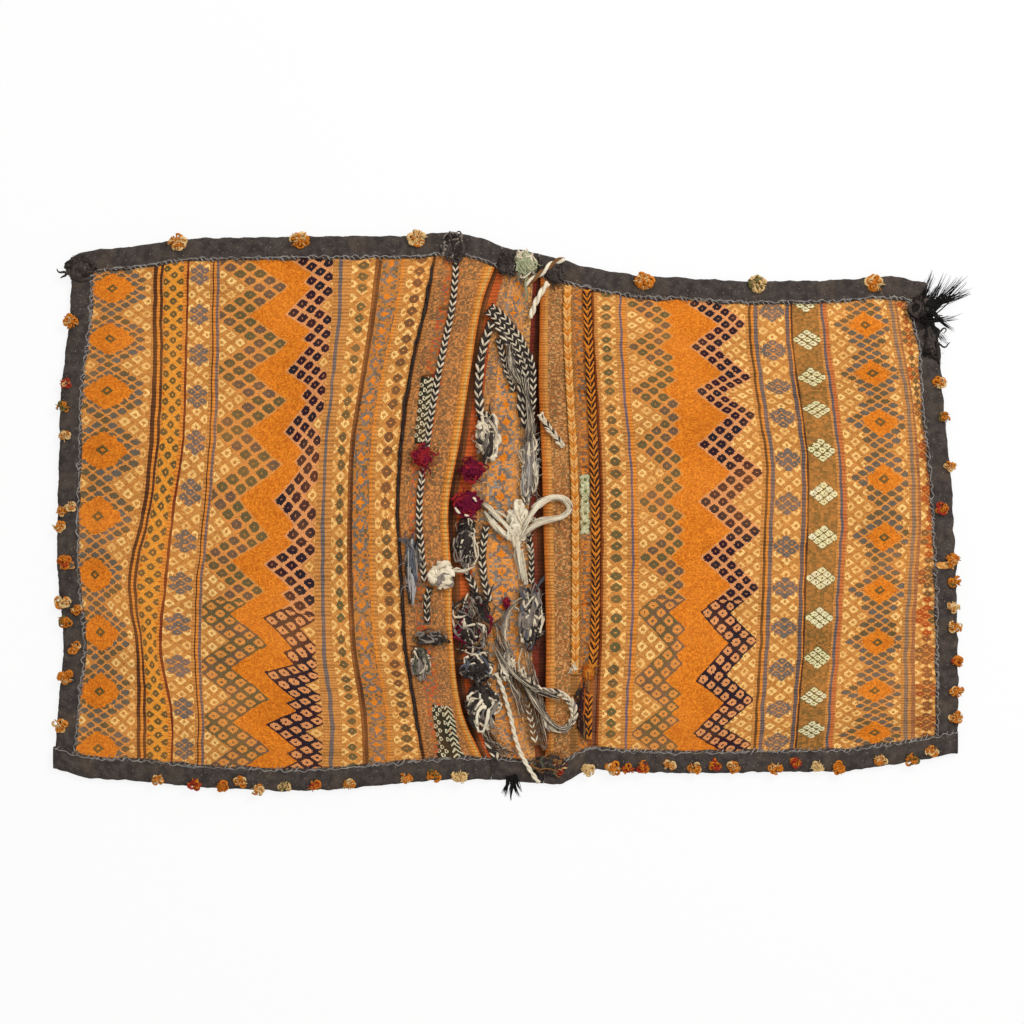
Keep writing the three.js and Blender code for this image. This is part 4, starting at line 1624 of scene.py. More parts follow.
DARK_LIGHT = (CHARCOAL, WHITE_WOOL)
CORDS = (
    FreeCord(
        "upper_chevron_braid", Make.CHEVRON, Slot.CHEVRON, 13, "bare", (*DARK_LIGHT, GREY_WOOL),
        (
            (-19, 222, 9), (-7, 212, 9), (7, 195, 9), (18, 177, 9), (25, 157, 9), (26, 135, 9),
            (25, 117, 9), (24, 95, 9), (26, 73, 9), (26, 51, 9), (23, 29, 9), (19, 16, 9),
        ),
        double=True, frayed_from=0.66,
    ),
    FreeCord(
        "upper_inner_strand", Make.CHEVRON, Slot.CHEVRON, 7, "bare", DARK_LIGHT,
        ((-9, 189, 6), (-4, 173, 6), (0, 158, 6), (5, 145, 6), (9, 131, 6)),
    ),
    FreeCord(
        "channel_braid", Make.CHEVRON, Slot.CHEVRON, 10, "knot", DARK_LIGHT,
        (
            (-16, 208, 7.5), (-22, 190, 7.5), (-27, 170, 7.5), (-29, 151, 7.5), (-30, 131, 7.5),
            (-29, 113, 7.5), (-26, 100, 7.5),
        ),
    ),
    FreeCord(
        "upper_braid_tail", Make.RAGGED, Slot.CHEVRON, 7, "bare", (WHITE_WOOL, CHARCOAL, WHITE_WOOL),
        ((37, 106, 17), (45, 94, 17), (54, 82, 16.5), (63, 70, 16.5)),
    ),
    FreeCord(
        "lower_left_braid", Make.CHEVRON, Slot.CHEVRON, 8, "bare", DARK_LIGHT,
        (
            (-37, -12, 6.5), (-44, -30, 6.5), (-47, -45, 6.5), (-45, -63, 6.5), (-37, -80, 6.5),
            (-32, -96, 6.5),
        ),
    ),
    FreeCord(
        "lower_right_braid", Make.CHEVRON, Slot.CHEVRON, 8, "bare", DARK_LIGHT,
        (
            (-22, -16, 6.5), (-24, -32, 6.5), (-26, -50, 6.5), (-25, -67, 6.5), (-22, -85, 6.5),
            (-18, -100, 6.5),
        ),
    ),
    FreeCord(
        "wool_bow_loop", Make.LOOSE, Slot.CREAM, 6, "object", (CREAM_WOOL,),
        (
            (28, 4, 15), (36, 10, 17), (48, 14, 17), (62, 13, 16.6), (69, 4, 16.6), (63, -5, 16.6),
            (48, -8, 17), (36, -9, 17), (28, -12, 15),
        ),
    ),
    FreeCord(
        "wool_bow_tail", Make.LOOSE, Slot.CREAM, 6, "bare", (CREAM_WOOL,),
        ((2, -30, 5.5), (-7, -21, 5.5), (-16, -10, 5.5), (-24, 0, 5.5)),
    ),
    FreeCord(
        "bow_plait", Make.CHEVRON, Slot.CREAM, 6, "bare", (CREAM_WOOL, WHITE_WOOL),
        ((16, -43, 5.5), (18, -54, 5.5), (20, -67, 5.5), (22, -81, 5.5)),
    ),
    FreeCord(
        "wool_side_loop", Make.LOOSE, Slot.CREAM, 7, "bare", (WHITE_WOOL,),
        ((8, -104, 6), (1, -113, 6), (-2, -127, 6), (-2, -142, 6), (2, -154, 6), (9, -165, 6)),
    ),
    FreeCord(
        "lower_loop", Make.RAGGED, Slot.CHEVRON, 8, "bare", (WHITE_WOOL, CHARCOAL, WHITE_WOOL, GREY_WOOL),
        (
            (16, -174, 7), (22, -182, 9), (29, -190, 13.5), (37, -196, 17.5), (51, -198, 17.5),
            (64, -202, 17.3), (73, -215, 17.3), (73, -229, 17.3), (64, -239, 17.3), (52, -238, 17.5),
            (45, -230, 17.5), (42, -221, 17.5),
        ),
    ),
    FreeCord(
        "cream_cord", Make.PLY, Slot.CREAM, 5.5, "bare", (CREAM_WOOL,),
        (
            (-11, -178, 5.4), (-4, -195, 5.4), (1, -212, 5.4), (6, -230, 5.6), (10, -248, 8),
            (16, -265, 11.5), (24, -280, 11.5), (31, -291, 11.5), (36, -298, 11.2),
        ),
    ),
    FreeCord(
        "brown_braid", Make.CHEVRON, Slot.BROWN, 8, "bare", (BROWN_WOOL, CREAM_WOOL),
        ((23, -210, 6.6), (27, -226, 7), (30, -242, 9), (34, -257, 12)),
    ),
    FreeCord(
        "top_twisted_loop", Make.PLY, Slot.CREAM, 7, "bare", (CREAM_WOOL, BROWN_WOOL),
        ((20, 248, 9), (31, 255, 12.5), (43, 264, 14.5), (52, 272, 14), (64, 276, 13.8)),
    ),
    FreeCord(
        "top_strand", Make.PLY, Slot.CREAM, 7, "bare", (CREAM_WOOL,),
        ((46, 250, 13.8), (39, 240, 14.7), (32, 227, 13.8), (27, 212, 9.5)),
    ),
)


# Cloths


@dataclass(frozen=True)
class Rows:
    """Y in millimetres of every second row of the weave from a first one, for some warps."""

    warps: tuple[float, ...]
    first: tuple[int, ...]
    heights: tuple[tuple[float, ...], ...]

    def at(self, u: Array, y: Array) -> Array:
        """Row number at some points.

        Args:
            u: Warps of the points.
            y: Y of the points.

        Returns:
            The number of the weave's row at each point.
        """
        numbers = []
        for first, heights in zip(self.first, self.heights):
            table = np.array(heights)
            table = np.concatenate([[2 * table[0] - table[1]], table, [2 * table[-1] - table[-2]]])
            rows = first - 2 + 2 * np.arange(len(table))
            numbers.append(np.interp(-y, -table, rows))
        stack = np.stack(numbers)
        share = np.clip(np.interp(u, self.warps, np.arange(len(self.warps))), 0, len(self.warps) - 1.001)
        low = share.astype(int)
        part = share - low
        flat = stack.reshape(len(self.warps), -1)
        index = np.arange(flat.shape[1])
        here = flat[low.ravel(), index].reshape(u.shape)
        after = flat[low.ravel() + 1, index].reshape(u.shape)
        return here + part * (after - here)


LEFT_ROWS = Rows(
    (-440, -260, -205),
    (-1, -1, -1),
    (
        (244, 189, 132, 67, -6, -70, -133, -198, -261),
        (245, 183, 120, 50, -29, -87, -144, -204, -261),
        (257, 194, 133, 59, -24, -98, -169, -217, -271),
    ),
)
RIGHT_ROWS = Rows(
    (210, 265, 405),
    (0, 1, 1),
    (
        (227, 180, 132, 73, 10, -51, -111, -186, -244),
        (205, 146, 106, 42, -22, -84, -142, -208, -257),
        (204, 151, 98, 35, -29, -87, -144, -197, -243),
    ),
)


@dataclass(frozen=True)
class Band:
    """A band of weave from its own warp to the next band's, and its relief in millimetres."""

    start: float
    finish: Finish
    relief: float = 0.0


@dataclass
class Panel:
    """A cloth between two warps, closed, with a grid of points on both faces."""

    node: str
    slot: Slot
    bands: tuple[Band, ...]
    end: float
    flat: tuple[float, float]
    rests_on: tuple[str, ...]
    rows: Rows
    bound_end: float | None = None
    spacing: float = 3.5
    thickness: float = FACE_THICK
    slits: tuple[float, ...] = ()
    slit_warps: tuple[float, float] = (0.0, 0.0)
    grooves: tuple[tuple[float, float], ...] = ()
    gathers: float = 1.2

    def columns(self) -> tuple[Array, Array, Array]:
        """Columns of the grid.

        Returns:
            The warp of each, the band between it and the next, and its relief.
        """
        starts = [band.start for band in self.bands] + [self.end]
        warps, numbers, relief = [], [], []
        for number, band in enumerate(self.bands):
            low, high = starts[number], starts[number + 1]
            count = max(1, round((high - low) / self.spacing))
            warps.extend(low + (high - low) * np.arange(count) / count)
            numbers.extend([number] * count)
            bulge = np.sin(math.pi * np.arange(count) / count)
            relief.extend(band.relief * np.sqrt(np.abs(bulge)))
        return np.array([*warps, self.end]), np.array(numbers), np.array([*relief, 0.0])

    def levels(self) -> Array:
        """Rows of the grid, close together at the slits.

        Returns:
            Their shares of the way up.
        """
        margin = INSET / BAG_WIDTH
        even = np.linspace(margin, 1 - margin, round(BAG_WIDTH / self.spacing))
        close = [share + step / BAG_WIDTH for share in self.slits for step in (-2.4, -0.9, 0.0, 0.9, 2.4)]
        away = [share for share in even if all(abs(share - slit) > 0.006 for slit in self.slits)]
        return np.array(sorted([*away, *close]))

    def height(self, v: Array, x: Array, y: Array) -> Array:
        """Height of the lower face at each share of the way up, X and Y."""
        return face_low(face_rise(x, y, v, self.bound_end))

    def relief(self, u: Array, v: Array, x: Array, y: Array) -> Array:
        """Wrinkles, puckers at the bindings, slits and grooves.

        Args:
            u: Warps of the points.
            v: Shares of the way up.
            x: X of the points.
            y: Y of the points.

        Returns:
            Height over the lower face.
        """
        rise = face_rise(x, y, v, self.bound_end)
        out = Ripple(75, 0.45, SEED).at(x, y) + Ripple(24, 0.22, SEED + 1).at(x, y * 0.6)
        out = out + Ripple(9, 0.1, SEED + 2).at(x, y)
        near = np.exp(-np.maximum(BAG.edge_distance(x, y) - FLAT_FROM, 0) / 22)
        pucker = Ripple(30, 1.0, SEED + 3).at(x, np.zeros_like(y))
        out = out + self.gathers * 0.6 * near * pucker * smooth((BAG.edge_distance(x, y) - 20) / 14)
        for slit in self.slits:
            along_slit = smooth((u - self.slit_warps[0]) / 3) * smooth((self.slit_warps[1] - u) / 3)
            across = np.abs(v - slit) * BAG_WIDTH
            out = out + along_slit * (0.5 * np.exp(-(((across - 3.2) / 1.2) ** 2)) - 3.2 * (across < 1.2))
        for warp, depth in self.grooves:
            out = out - depth * np.exp(-(((u - warp) / 2.4) ** 2))
        return out * (0.35 + 0.65 * rise)

    def build(self) -> None:
        """Builds and dresses the cloth."""
        warps, numbers, relief = self.columns()
        levels = self.levels()
        u, v = np.meshgrid(warps, levels)
        x, y = BAG.place(u, v)
        low = self.height(v, x, y) + self.relief(u, v, x, y)
        top = low + self.thickness + relief[None, :]
        faces, rim = shell_faces(len(levels), len(warps))
        uv = rows_of(u, self.rows.at(u, y) * HALF_ROW)
        band = np.tile(numbers, len(levels) - 1)
        rim_band = numbers[np.minimum(rim % len(warps), len(warps) - 2)]
        parts = Parts()
        parts.add(
            np.concatenate([rows_of(x, y, top), rows_of(x, y, low)]),
            faces,
            np.concatenate([uv, uv]),
            np.concatenate([band, band, rim_band]),
        )
        made = parts.build(f"{self.node}_weave", [band.finish for band in self.bands])
        publish(made, self.slot, self.node)


def striped(end: float, relief: float, *stops: tuple[float, Rgb], inset: float = 0.0) -> Band:
    """A band of plain stripes.

    Args:
        end: Warp where the last stripe ends.
        relief: Relief of the band in millimetres.
        stops: Warp and paint of each stripe.
        inset: How far inside the first stripe the cloth starts.

    Returns:
        The band.
    """
    low = stops[0][0]
    return Band(low + inset, Stripes(f"stripes at {low:g}", low=low, high=end, stops=stops), relief)


def heather(name: str, *paints: Rgb, share: float = 0.7, cell: tuple[float, float] = (1.9, 1.6)) -> Confetti:
    """A speckle of four paints without blobs, with its share of coloured wraps and their size."""
    return Confetti(name, paints=paints, blob=None, share=share, cell=cell)


RIB_TAN: Rgb = (206, 138, 70)
RIB_DARK: Rgb = (92, 56, 34)
RIB_ORANGE: Rgb = (222, 136, 52)

LEFT_BANDS = (
    Band(LEFT_END + INSET, LozengeColumn("left lozenge column"), 0.5),
    striped(
        -387, 0.6, (-400, RIB_TAN), (-397, RIB_DARK), (-394, RIB_ORANGE), (-391, RIB_DARK), (-388, RIB_TAN),
    ),
    Band(
        -387,
        Motifs(
            "left narrow lattice", middle=-376, half=(10, 60), pitch=1.0, dark=(MOSS, OLIVE),
            ground=(ORANGE, DEEP_ORANGE), cell=(8.0, 7.8), body=(0.12, 0.55), light=(232, 150, 52),
        ),
        0.2,
    ),
    striped(-360, 0.5, (-366, RIB_ORANGE), (-362.5, (120, 52, 30))),
    Band(-360, Motifs("left hexagons"), 0.4),
    striped(
        -324, 0.6, (-335, RIB_TAN), (-332.5, RIB_DARK), (-330, RIB_ORANGE), (-327, (128, 104, 96)),
        (-325, RIB_TAN),
    ),
    Band(-324, Zigzag("left zigzags"), 0.0),
    striped(-182, 0.4, (-201, RIB_TAN), (-194.5, (118, 104, 98)), (-190, RIB_TAN)),
    Band(
        -182,
        Motifs(
            "left green diamonds", middle=-171, half=(6, 14), pitch=1.45, phase=0.45, dark=(GREEN, OLIVE),
            cell=(6.6, 6.2),
        ),
        0.3,
    ),
    striped(-155, 0.5, (-161, (140, 84, 44)), (-158, RIB_DARK)),
    Band(-155, Confetti("left confetti"), 0.1),
    striped(-129, 0.4, (-136, RIB_ORANGE), (-132.5, RIB_TAN)),
    Band(
        -129,
        Motifs(
            "left seam diamonds", middle=-116, half=(8, 15), pitch=1.4, phase=0.2,
            dark=(OLIVE, (130, 84, 52)), cell=(8.0, 6.6),
        ),
        0.3,
    ),
    striped(-102, 0.2, (-106, RIB_TAN), (-103.5, (96, 60, 38))),
)
RIGHT_BANDS = (
    striped(106, 0.2, (99, (150, 80, 40)), (102, RIB_TAN), inset=GAP),
    Band(
        106,
        Motifs(
            "right seam diamonds", middle=116, half=(8, 15), pitch=1.5, phase=0.6, dark=(OLIVE, GREEN),
            cell=(8.0, 6.6),
        ),
        0.3,
    ),
    striped(140, 0.5, (127, RIB_TAN), (131, (120, 100, 106)), (134.5, RIB_ORANGE), (138, RIB_TAN)),
    Band(
        140,
        Zigzag(
            "right zigzags", olive=((134, 31), (172, 25)), orange=((152, 28), (228, 26)),
            purple=((208, 25), (244, 26)), olive_cell=(9.0, 164.4), purple_cell=(8.5, 215.0),
            inverted_from=11.5,
        ),
        0.0,
    ),
    striped(
        287, 0.6, (272, RIB_TAN), (276, (110, 74, 40)), (279, RIB_ORANGE), (282, (116, 100, 94)),
        (285, RIB_TAN),
    ),
    Band(287, Motifs("right hexagons", middle=301, half=(13, 13), phase=0.5), 0.4),
    striped(324, 0.6, (315, RIB_TAN), (317, (108, 92, 88)), (320, RIB_ORANGE), (322, RIB_DARK)),
    Band(
        324,
        Motifs(
            "right rosettes", middle=339, half=(13.5, 13.0), phase=0.1, dark=(PALE_GREEN, (236, 226, 186)),
            ground=((124, 94, 48), (186, 122, 58)), cell=(5.6, 4.6), body=(0.2, 0.74), light=(112, 92, 46),
        ),
        0.5,
    ),
    striped(364, 0.6, (353, RIB_TAN), (355.5, (104, 96, 98)), (358.5, (200, 112, 60)), (362, RIB_TAN)),
    Band(364, LozengeColumn("right lozenge column", middle=405, half=37, core=0.52, roundness=0.15), 0.5),
    striped(446, 0.5, (432, RIB_TAN), (436, (150, 118, 92)), (440, RIB_TAN), (443, (170, 110, 70))),
    Band(
        446,
        Motifs(
            "right outer diamonds", middle=456, half=(9, 20), pitch=1.5, dark=(OLIVE, RUST),
            cell=(6.0, 5.0),
        ),
        0.2,
    ),
)

HEATHER = heather("left heather", (180, 120, 68), (146, 98, 60), (122, 94, 62), (206, 134, 72))
SPRINKLE = heather(
    "left sprinkle", (160, 104, 58), (200, 118, 54), (122, 104, 86), (196, 88, 50), share=0.6,
    cell=(2.4, 2.0),
)
RIGHT_HEATHER = heather("right heather", (182, 124, 70), (156, 98, 54), (128, 102, 64), (206, 148, 92))
RIGHT_SPRINKLE = heather(
    "right sprinkle", (182, 120, 60), (212, 124, 46), (118, 102, 84), (142, 88, 50), cell=(2.4, 2.0),
)

LEFT_BORDER_BANDS = (
    striped(-96, 0.2, (-102, (112, 70, 42)), (-99, (186, 122, 66)), inset=GAP),
    Band(-96, HEATHER, 0.2),
    Band(-88, SPRINKLE, 0.2),
    Band(-70, HEATHER, 0.3),
    striped(
        -40, 0.9, (-50, (196, 126, 58)), (-47, (222, 140, 56)), (-44.5, (206, 156, 84)),
        (-42, (216, 120, 44)),
    ),
)
RIGHT_BORDER_BANDS = (
    striped(50, 0.9, (40, (196, 108, 40)), (43, (190, 118, 54)), (46.5, (206, 140, 70))),
    Band(50, RIGHT_HEATHER, 0.3),
    striped(79, 0.2, (68, (146, 100, 54)), (76, (166, 114, 60))),
    Band(79, RIGHT_SPRINKLE, 0.0),
    striped(99, 0.2, (92, (150, 84, 40)), (96, (120, 78, 60))),
)


@dataclass
class BackCloth(Panel):
    """The long cloth under the pouches and across the bridge."""

    thickness: float = BACK_THICK
    spacing: float = 8.0

    def height(self, v: Array, x: Array, y: Array) -> Array:
        """Flat on the ground, raised over the lower leg of the binding.

        Args:
            v: Shares of the way up.
            x: X of the points.
            y: Y of the points.

        Returns:
            Height of the lower face.
        """
        distance = BAG.edge_distance(x, y)
        for end in (LEFT_END, RIGHT_END):
            distance = np.minimum(distance, np.abs(x - BAG.x(np.full_like(x, end), v)))
        return BACK_RAISED * (1 - smooth((distance - FLAT_FROM) / CLIMB))

    def relief(self, u: Array, v: Array, x: Array, y: Array) -> Array:
        """Low wrinkles on the bridge, none where the pouches lie over it.

        Args:
            u: Warps of the points.
            v: Shares of the way up; not used.
            x: X of the points.
            y: Y of the points.

        Returns:
            Height over the lower face.
        """
        bridge = smooth((u + 44) / 14) * smooth((44 - u) / 14)
        folds = np.abs(Ripple(46, 0.4, SEED + 5).at(x * 1.6, y)) + 0.15 * (1 + np.sin(u / 2.1))
        return bridge * folds


BRIDGE_BANDS = (
    striped(
        -40, 0.0, (-489, (134, 78, 42)), (-420, (110, 64, 38)), (-405, (140, 84, 46)),
        (-240, (104, 60, 38)), (-220, (138, 80, 44)), inset=INSET,
    ),
    # Painted shade: a dark brown band on the bridge, in the recess beside the left pouch's mouth edge
    striped(-33, 0.0, (-40, (84, 50, 32)), (-36, (124, 72, 42))),
    striped(-22, 0.0, (-33, (204, 92, 42)), (-26, (188, 84, 42))),
    Band(
        -22,
        heather(
            "bridge brown", (184, 127, 75), (139, 102, 68), (218, 149, 82), (126, 113, 103),
            cell=(2.0, 1.7),
        ),
    ),
    Band(
        -9,
        Confetti(
            "bridge rosettes", middle=3.5,
            paints=((220, 147, 80), (148, 138, 125), (240, 153, 64), (175, 127, 82)), blob=16.5, share=0.6,
        ),
    ),
    Band(
        17,
        heather(
            "bridge tan", (208, 144, 80), (156, 113, 73), (235, 169, 93), (146, 124, 105), cell=(2.0, 1.7),
        ),
    ),
    # Maroon bridge cloth beside the right pouch's mouth edge, with painted shade making it darker towards the
    # mouth
    striped(40, 0.0, (28, (124, 50, 38)), (34, (84, 42, 30))),
    striped(
        487, 0.0, (40, (134, 78, 42)), (210, (108, 62, 38)), (225, (140, 84, 46)), (390, (104, 60, 38)),
        (410, (138, 80, 44)),
    ),
)


# Felt bindings


Line = Callable[[Array], tuple[Array, Array]]


@dataclass(frozen=True)
class Binding:
    """Felt folded round an edge, with gathers, and yarn stitches along its inner edge."""

    node: str
    line: Line
    inward: tuple[float, float]
    length: float
    top: float = BINDING_TOP
    seed: int = 1
    wall: float = 1.6
    stitch_pitch: float = 5.6

    def section(self) -> Array:
        """Closed section of the fold.

        Returns:
            Way inward and height of each of its points.
        """
        wide, wall, high = BINDING_WIDTH, self.wall, self.top
        upper = [(0.4, high - 2.4), (1.8, high - 0.8), (5.0, high), (11.0, high + 0.2)]
        upper += [(18.0, high), (23.0, high - 0.1)]
        inner = [(wide, high - 0.8), (wide - 0.4, high - wall), (12.0, high - wall), (2.6, high - wall)]
        lower = [(1.8, high - 2.6), (1.8, wall), (12.0, wall), (wide, wall), (wide, 0.0), (12.0, 0.0)]
        outer = [(2.0, 0.0), (0.5, 0.8), (0.0, high / 2)]
        return np.array(upper + inner + lower + outer)

    def inside(self, x: Array, y: Array, way: Array) -> tuple[Array, Array]:
        """X and Y of the points moved inward by that way."""
        return x + way * self.inward[0], y + way * self.inward[1]

    def build(self) -> None:
        """Builds the felt and its stitches."""
        section = self.section()
        sides = len(section)
        count = max(12, round(self.length / 3.0))
        share = np.linspace(0, 1, count)
        x, y = self.line(share)
        run = share * self.length
        still = np.zeros_like(run)
        gather = Ripple(21, 1.0, SEED + 60 + self.seed).at(run, still)
        gather = gather + 0.5 * Ripple(9, 1.0, SEED + 80 + self.seed).at(run, still)
        edge = Ripple(38, 0.7, SEED + 90 + self.seed).at(run, still)
        inward = section[None, :, 0] + edge[:, None] * (section[None, :, 0] / BINDING_WIDTH)
        inward = inward + 0.4 * gather[:, None] * (section[None, :, 0] < 3)
        inner_share = 0.12 + 0.8 * section[:, 0] / BINDING_WIDTH
        on_top = (section[:, 1] > self.top - 2.7) * np.sin(math.pi * inner_share)
        lift = 0.42 * gather[:, None] * on_top[None, :]
        high = np.maximum(section[None, :, 1] + lift, 0.0)
        points = rows_of(*self.inside(x[:, None], y[:, None], inward), high)
        cap = self.cap()
        quads = grid_quads(count, sides, round_rows=True)
        faces = np.concatenate([quads, cap, cap[:, ::-1] + (count - 1) * sides])
        uv = np.stack([np.repeat(run, sides), np.tile(run_along(section), count)], axis=1)
        parts = Parts()
        parts.add(points, faces, uv)
        self.stitches(parts)
        made = parts.build(f"{self.node}_felt", (FELT, PALE_GREY, GREY_WOOL))
        publish(made, Slot.FELT, self.node)

    @staticmethod
    def cap() -> Array:
        """Faces that close the section at one end, leg by leg.

        Returns:
            Four point numbers for each face.
        """
        legs = ((5, 6), (4, 7), (3, 8), (2, 9), (1, 9), (0, 10))
        legs += ((18, 10), (17, 11), (16, 11), (15, 12), (14, 13))
        return np.array([[a, c, d, b] for (a, b), (c, d) in zip(legs, legs[1:])])

    def stitches(self, parts: Parts) -> None:
        """Slanting overcast stitches along the inner edge and the thread that joins them.

        Args:
            parts: The piece that they go to.
        """
        rng = np.random.default_rng(SEED + self.seed)
        count = round(self.length / self.stitch_pitch)
        share = np.linspace(0, 1, 5)
        for index in range(count):
            at = np.array([(index + 0.5) / count, (index + 1.25) / count]) + rng.normal(0, 0.1, 2) / count
            x, y = self.line(np.clip(at, 0, 1))
            reach = np.array([BINDING_WIDTH - 3.4, BINDING_WIDTH + 1.8]) + rng.normal(0, 0.7, 2)
            if rng.random() < 0.12:
                continue
            ends = (*self.inside(x, y, reach), [self.top + 0.5, self.top - 0.9])
            line = np.stack([np.interp(share, [0, 1], pair) for pair in ends], axis=1)
            line[:, 2] += 0.5 * np.sin(math.pi * share)
            radii = np.array([0.25, 0.5, 0.58, 0.5, 0.25]) * rng.uniform(0.7, 1.2)
            parts.add_tube(line, radii, shift=index * 9.1, finish=1 + int(rng.random() < 0.45))
        dense = np.linspace(0, 1, max(8, round(self.length / 1.9)))
        x, y = self.line(dense)
        run = dense * self.length
        wave = BINDING_WIDTH - 2.4 + 0.8 * np.sin(run / self.stitch_pitch * math.pi)
        wave = wave + Ripple(12, 0.7, self.seed).at(run, run * 0)
        high = self.top + 0.25 + Ripple(14, 0.35, self.seed + 1).at(run, run * 0)
        path = rows_of(*self.inside(x, y, wave), high)
        parts.add_tube(path, np.full(len(path), 0.42), finish=1)
        Strands(path - [0, 0, 0.2], 2.2, 0.22, round(self.length / 4), (0.015, 0.05), (1, 2)).add_to(parts)


def edge_line(upper: bool, start: float, end: float) -> Line:
    """A line along an edge of the bag.

    Args:
        upper: Whether it is the upper edge.
        start: X of its first point.
        end: X of its last point.

    Returns:
        What gives the points at shares of its length.
    """

    def line(share: Array) -> tuple[Array, Array]:
        """X and Y at the shares."""
        x = start + (end - start) * share
        return x, BAG.upper_edge(x) if upper else BAG.lower_edge(x)

    return line


def end_line(warp: float) -> Line:
    """A line up an end of the bag, between the bindings of the upper and lower edges.

    Args:
        warp: Warp of the end.

    Returns:
        What gives the points at shares of its length.
    """
    margin = (BINDING_WIDTH - BINDING_OVERLAP) / END_WIDTH

    def line(share: Array) -> tuple[Array, Array]:
        """X and Y at the shares."""
        v = margin + (1 - 2 * margin) * share
        return BAG.place(np.full_like(v, warp), v)

    return line


DOWN = (0.0, -1.0)
UP = (0.0, 1.0)
BINDINGS = (
    Binding("left_end_binding", end_line(LEFT_END), (1, 0), 550, END_BINDING_TOP, seed=1),
    Binding("right_end_binding", end_line(RIGHT_END), (-1, 0), 510, END_BINDING_TOP, seed=2),
    Binding("left_top_binding", edge_line(True, -478, -4.5), DOWN, 474, seed=3),
    Binding("right_top_binding", edge_line(True, 36.5, 462), DOWN, 426, seed=4),
    Binding("left_bottom_binding", edge_line(False, -497, -16.5), UP, 481, seed=5),
    Binding("right_bottom_binding", edge_line(False, 41.5, 496), UP, 455, seed=6),
    Binding("bridge_top_binding", edge_line(True, -4.2, 36.2), DOWN, 41, BRIDGE_BINDING_TOP, seed=7),
    Binding("bridge_bottom_binding", edge_line(False, -16.2, 41.2), UP, 58, BRIDGE_BINDING_TOP, seed=8),
)


# Braids sewn on the borders


@dataclass(frozen=True)
class SewnBraid:
    """A chevron braid sewn along a warp line of a border."""

    node: str
    slot: Slot
    finishes: tuple[Finish, ...]
    warp: float
    span: tuple[float, float]
    width: float
    pitch: float
    tints: tuple[int, ...]
    seed: int

    def build(self) -> None:
        """Builds the braid from its upper end to its lower one."""
        share = np.linspace(self.span[1], self.span[0], 260)
        x, y = BAG.place(np.full_like(share, self.warp), share)
        z = face_low(face_rise(x, y, share, None)) + FACE_THICK + BRAID_SEAT + BRAID_MIDDLE
        path = rows_of(x, y, z)
        parts = Parts()
        Plait(path, self.width, 4.6, self.pitch, self.tints, 0.07, self.seed).add_to(parts)
        parts.add_core(path, self.width * 0.4, 0.9, 0.4)
        Strands(path, self.width * 0.5, 0.22, 40, (0.02, 0.06), (1,), seed=self.seed).add_to(parts)
        publish(parts.build(f"{self.node}_yarn", self.finishes), self.slot, self.node)


SEWN_BRAIDS = (
    SewnBraid("left_chevron_braid", Slot.CHEVRON, DARK_LIGHT, -75, (0.365, 0.952), 7.8, 3.8, (0, 1), 21),
    SewnBraid(
        "right_peach_braid", Slot.PEACH, (PEACH_WOOL, GOLD_WOOL), 73, (0.2, 0.952), 9.4, 4.6, (0, 0, 1), 22,
    ),
    SewnBraid(
        "right_two_tone_braid", Slot.TWO_TONE, (GOLD_WOOL, BROWN_BLACK), 93, (0.205, 0.952), 10.6, 3.8,
        (0, 1), 23,
    ),
    SewnBraid(
        "right_two_tone_stub", Slot.TWO_TONE, (GOLD_WOOL, BROWN_BLACK), 93, (0.062, 0.15), 9.6, 3.8, (0, 1),
        24,
    ),
)


@dataclass(frozen=True)
class Checker(Weave):
    """White squares and chevrons in a dark cloth, side by side."""

    middle: float = 9.0
    dark: Rgb = (44, 44, 32)
    light: Rgb = (212, 200, 164)

    def figure(self, canvas: Canvas, s: Value, q: Value) -> Value:
        """Squares on one half and chevrons on the other.

        Args:
            canvas: Where it is drawn.
            s: Place along the bag.
            q: Place across it.

        Returns:
            The paint.
        """
        cell = canvas.lattice(s, q, 4.2, 4.6, 2.0)
        square = rounded(cell, 4.2, 4.6).below(0.62) * cell.reach.above(0.26)
        away = (s - self.middle - 4.5).size()
        chevron = ((q + away * 0.9) / 6.0).fraction().below(0.42)
        left = s.below(self.middle)
        white = square * canvas.chance(cell.s, cell.q).above(0.2) * left + chevron * left.flip()
        return canvas.mix(white.smaller(1.0), self.dark, self.light)


@dataclass(frozen=True)
class PaleTab(Weave):
    """Pale green wool with dark diamonds."""

    pale: Rgb = (214, 212, 170)
    deep: Rgb = (140, 136, 92)
    diamond: Rgb = (104, 110, 66)

    def figure(self, canvas: Canvas, s: Value, q: Value) -> Value:
        """Diamonds on mottled wool.

        Args:
            canvas: Where it is drawn.
            s: Place along the bag.
            q: Place across it.

        Returns:
            The paint.
        """
        cell = canvas.lattice(s, q, 5.5, 6.0, 5.5)
        spot = cell.reach.below(0.42) * cell.reach.above(0.1)
        grain = canvas.chance((s / 1.6).floor(), (q / 2.4).floor(), offset=4)
        ground = canvas.mix(grain * 0.8, self.pale, self.deep)
        return canvas.mix(spot, ground, self.diamond)


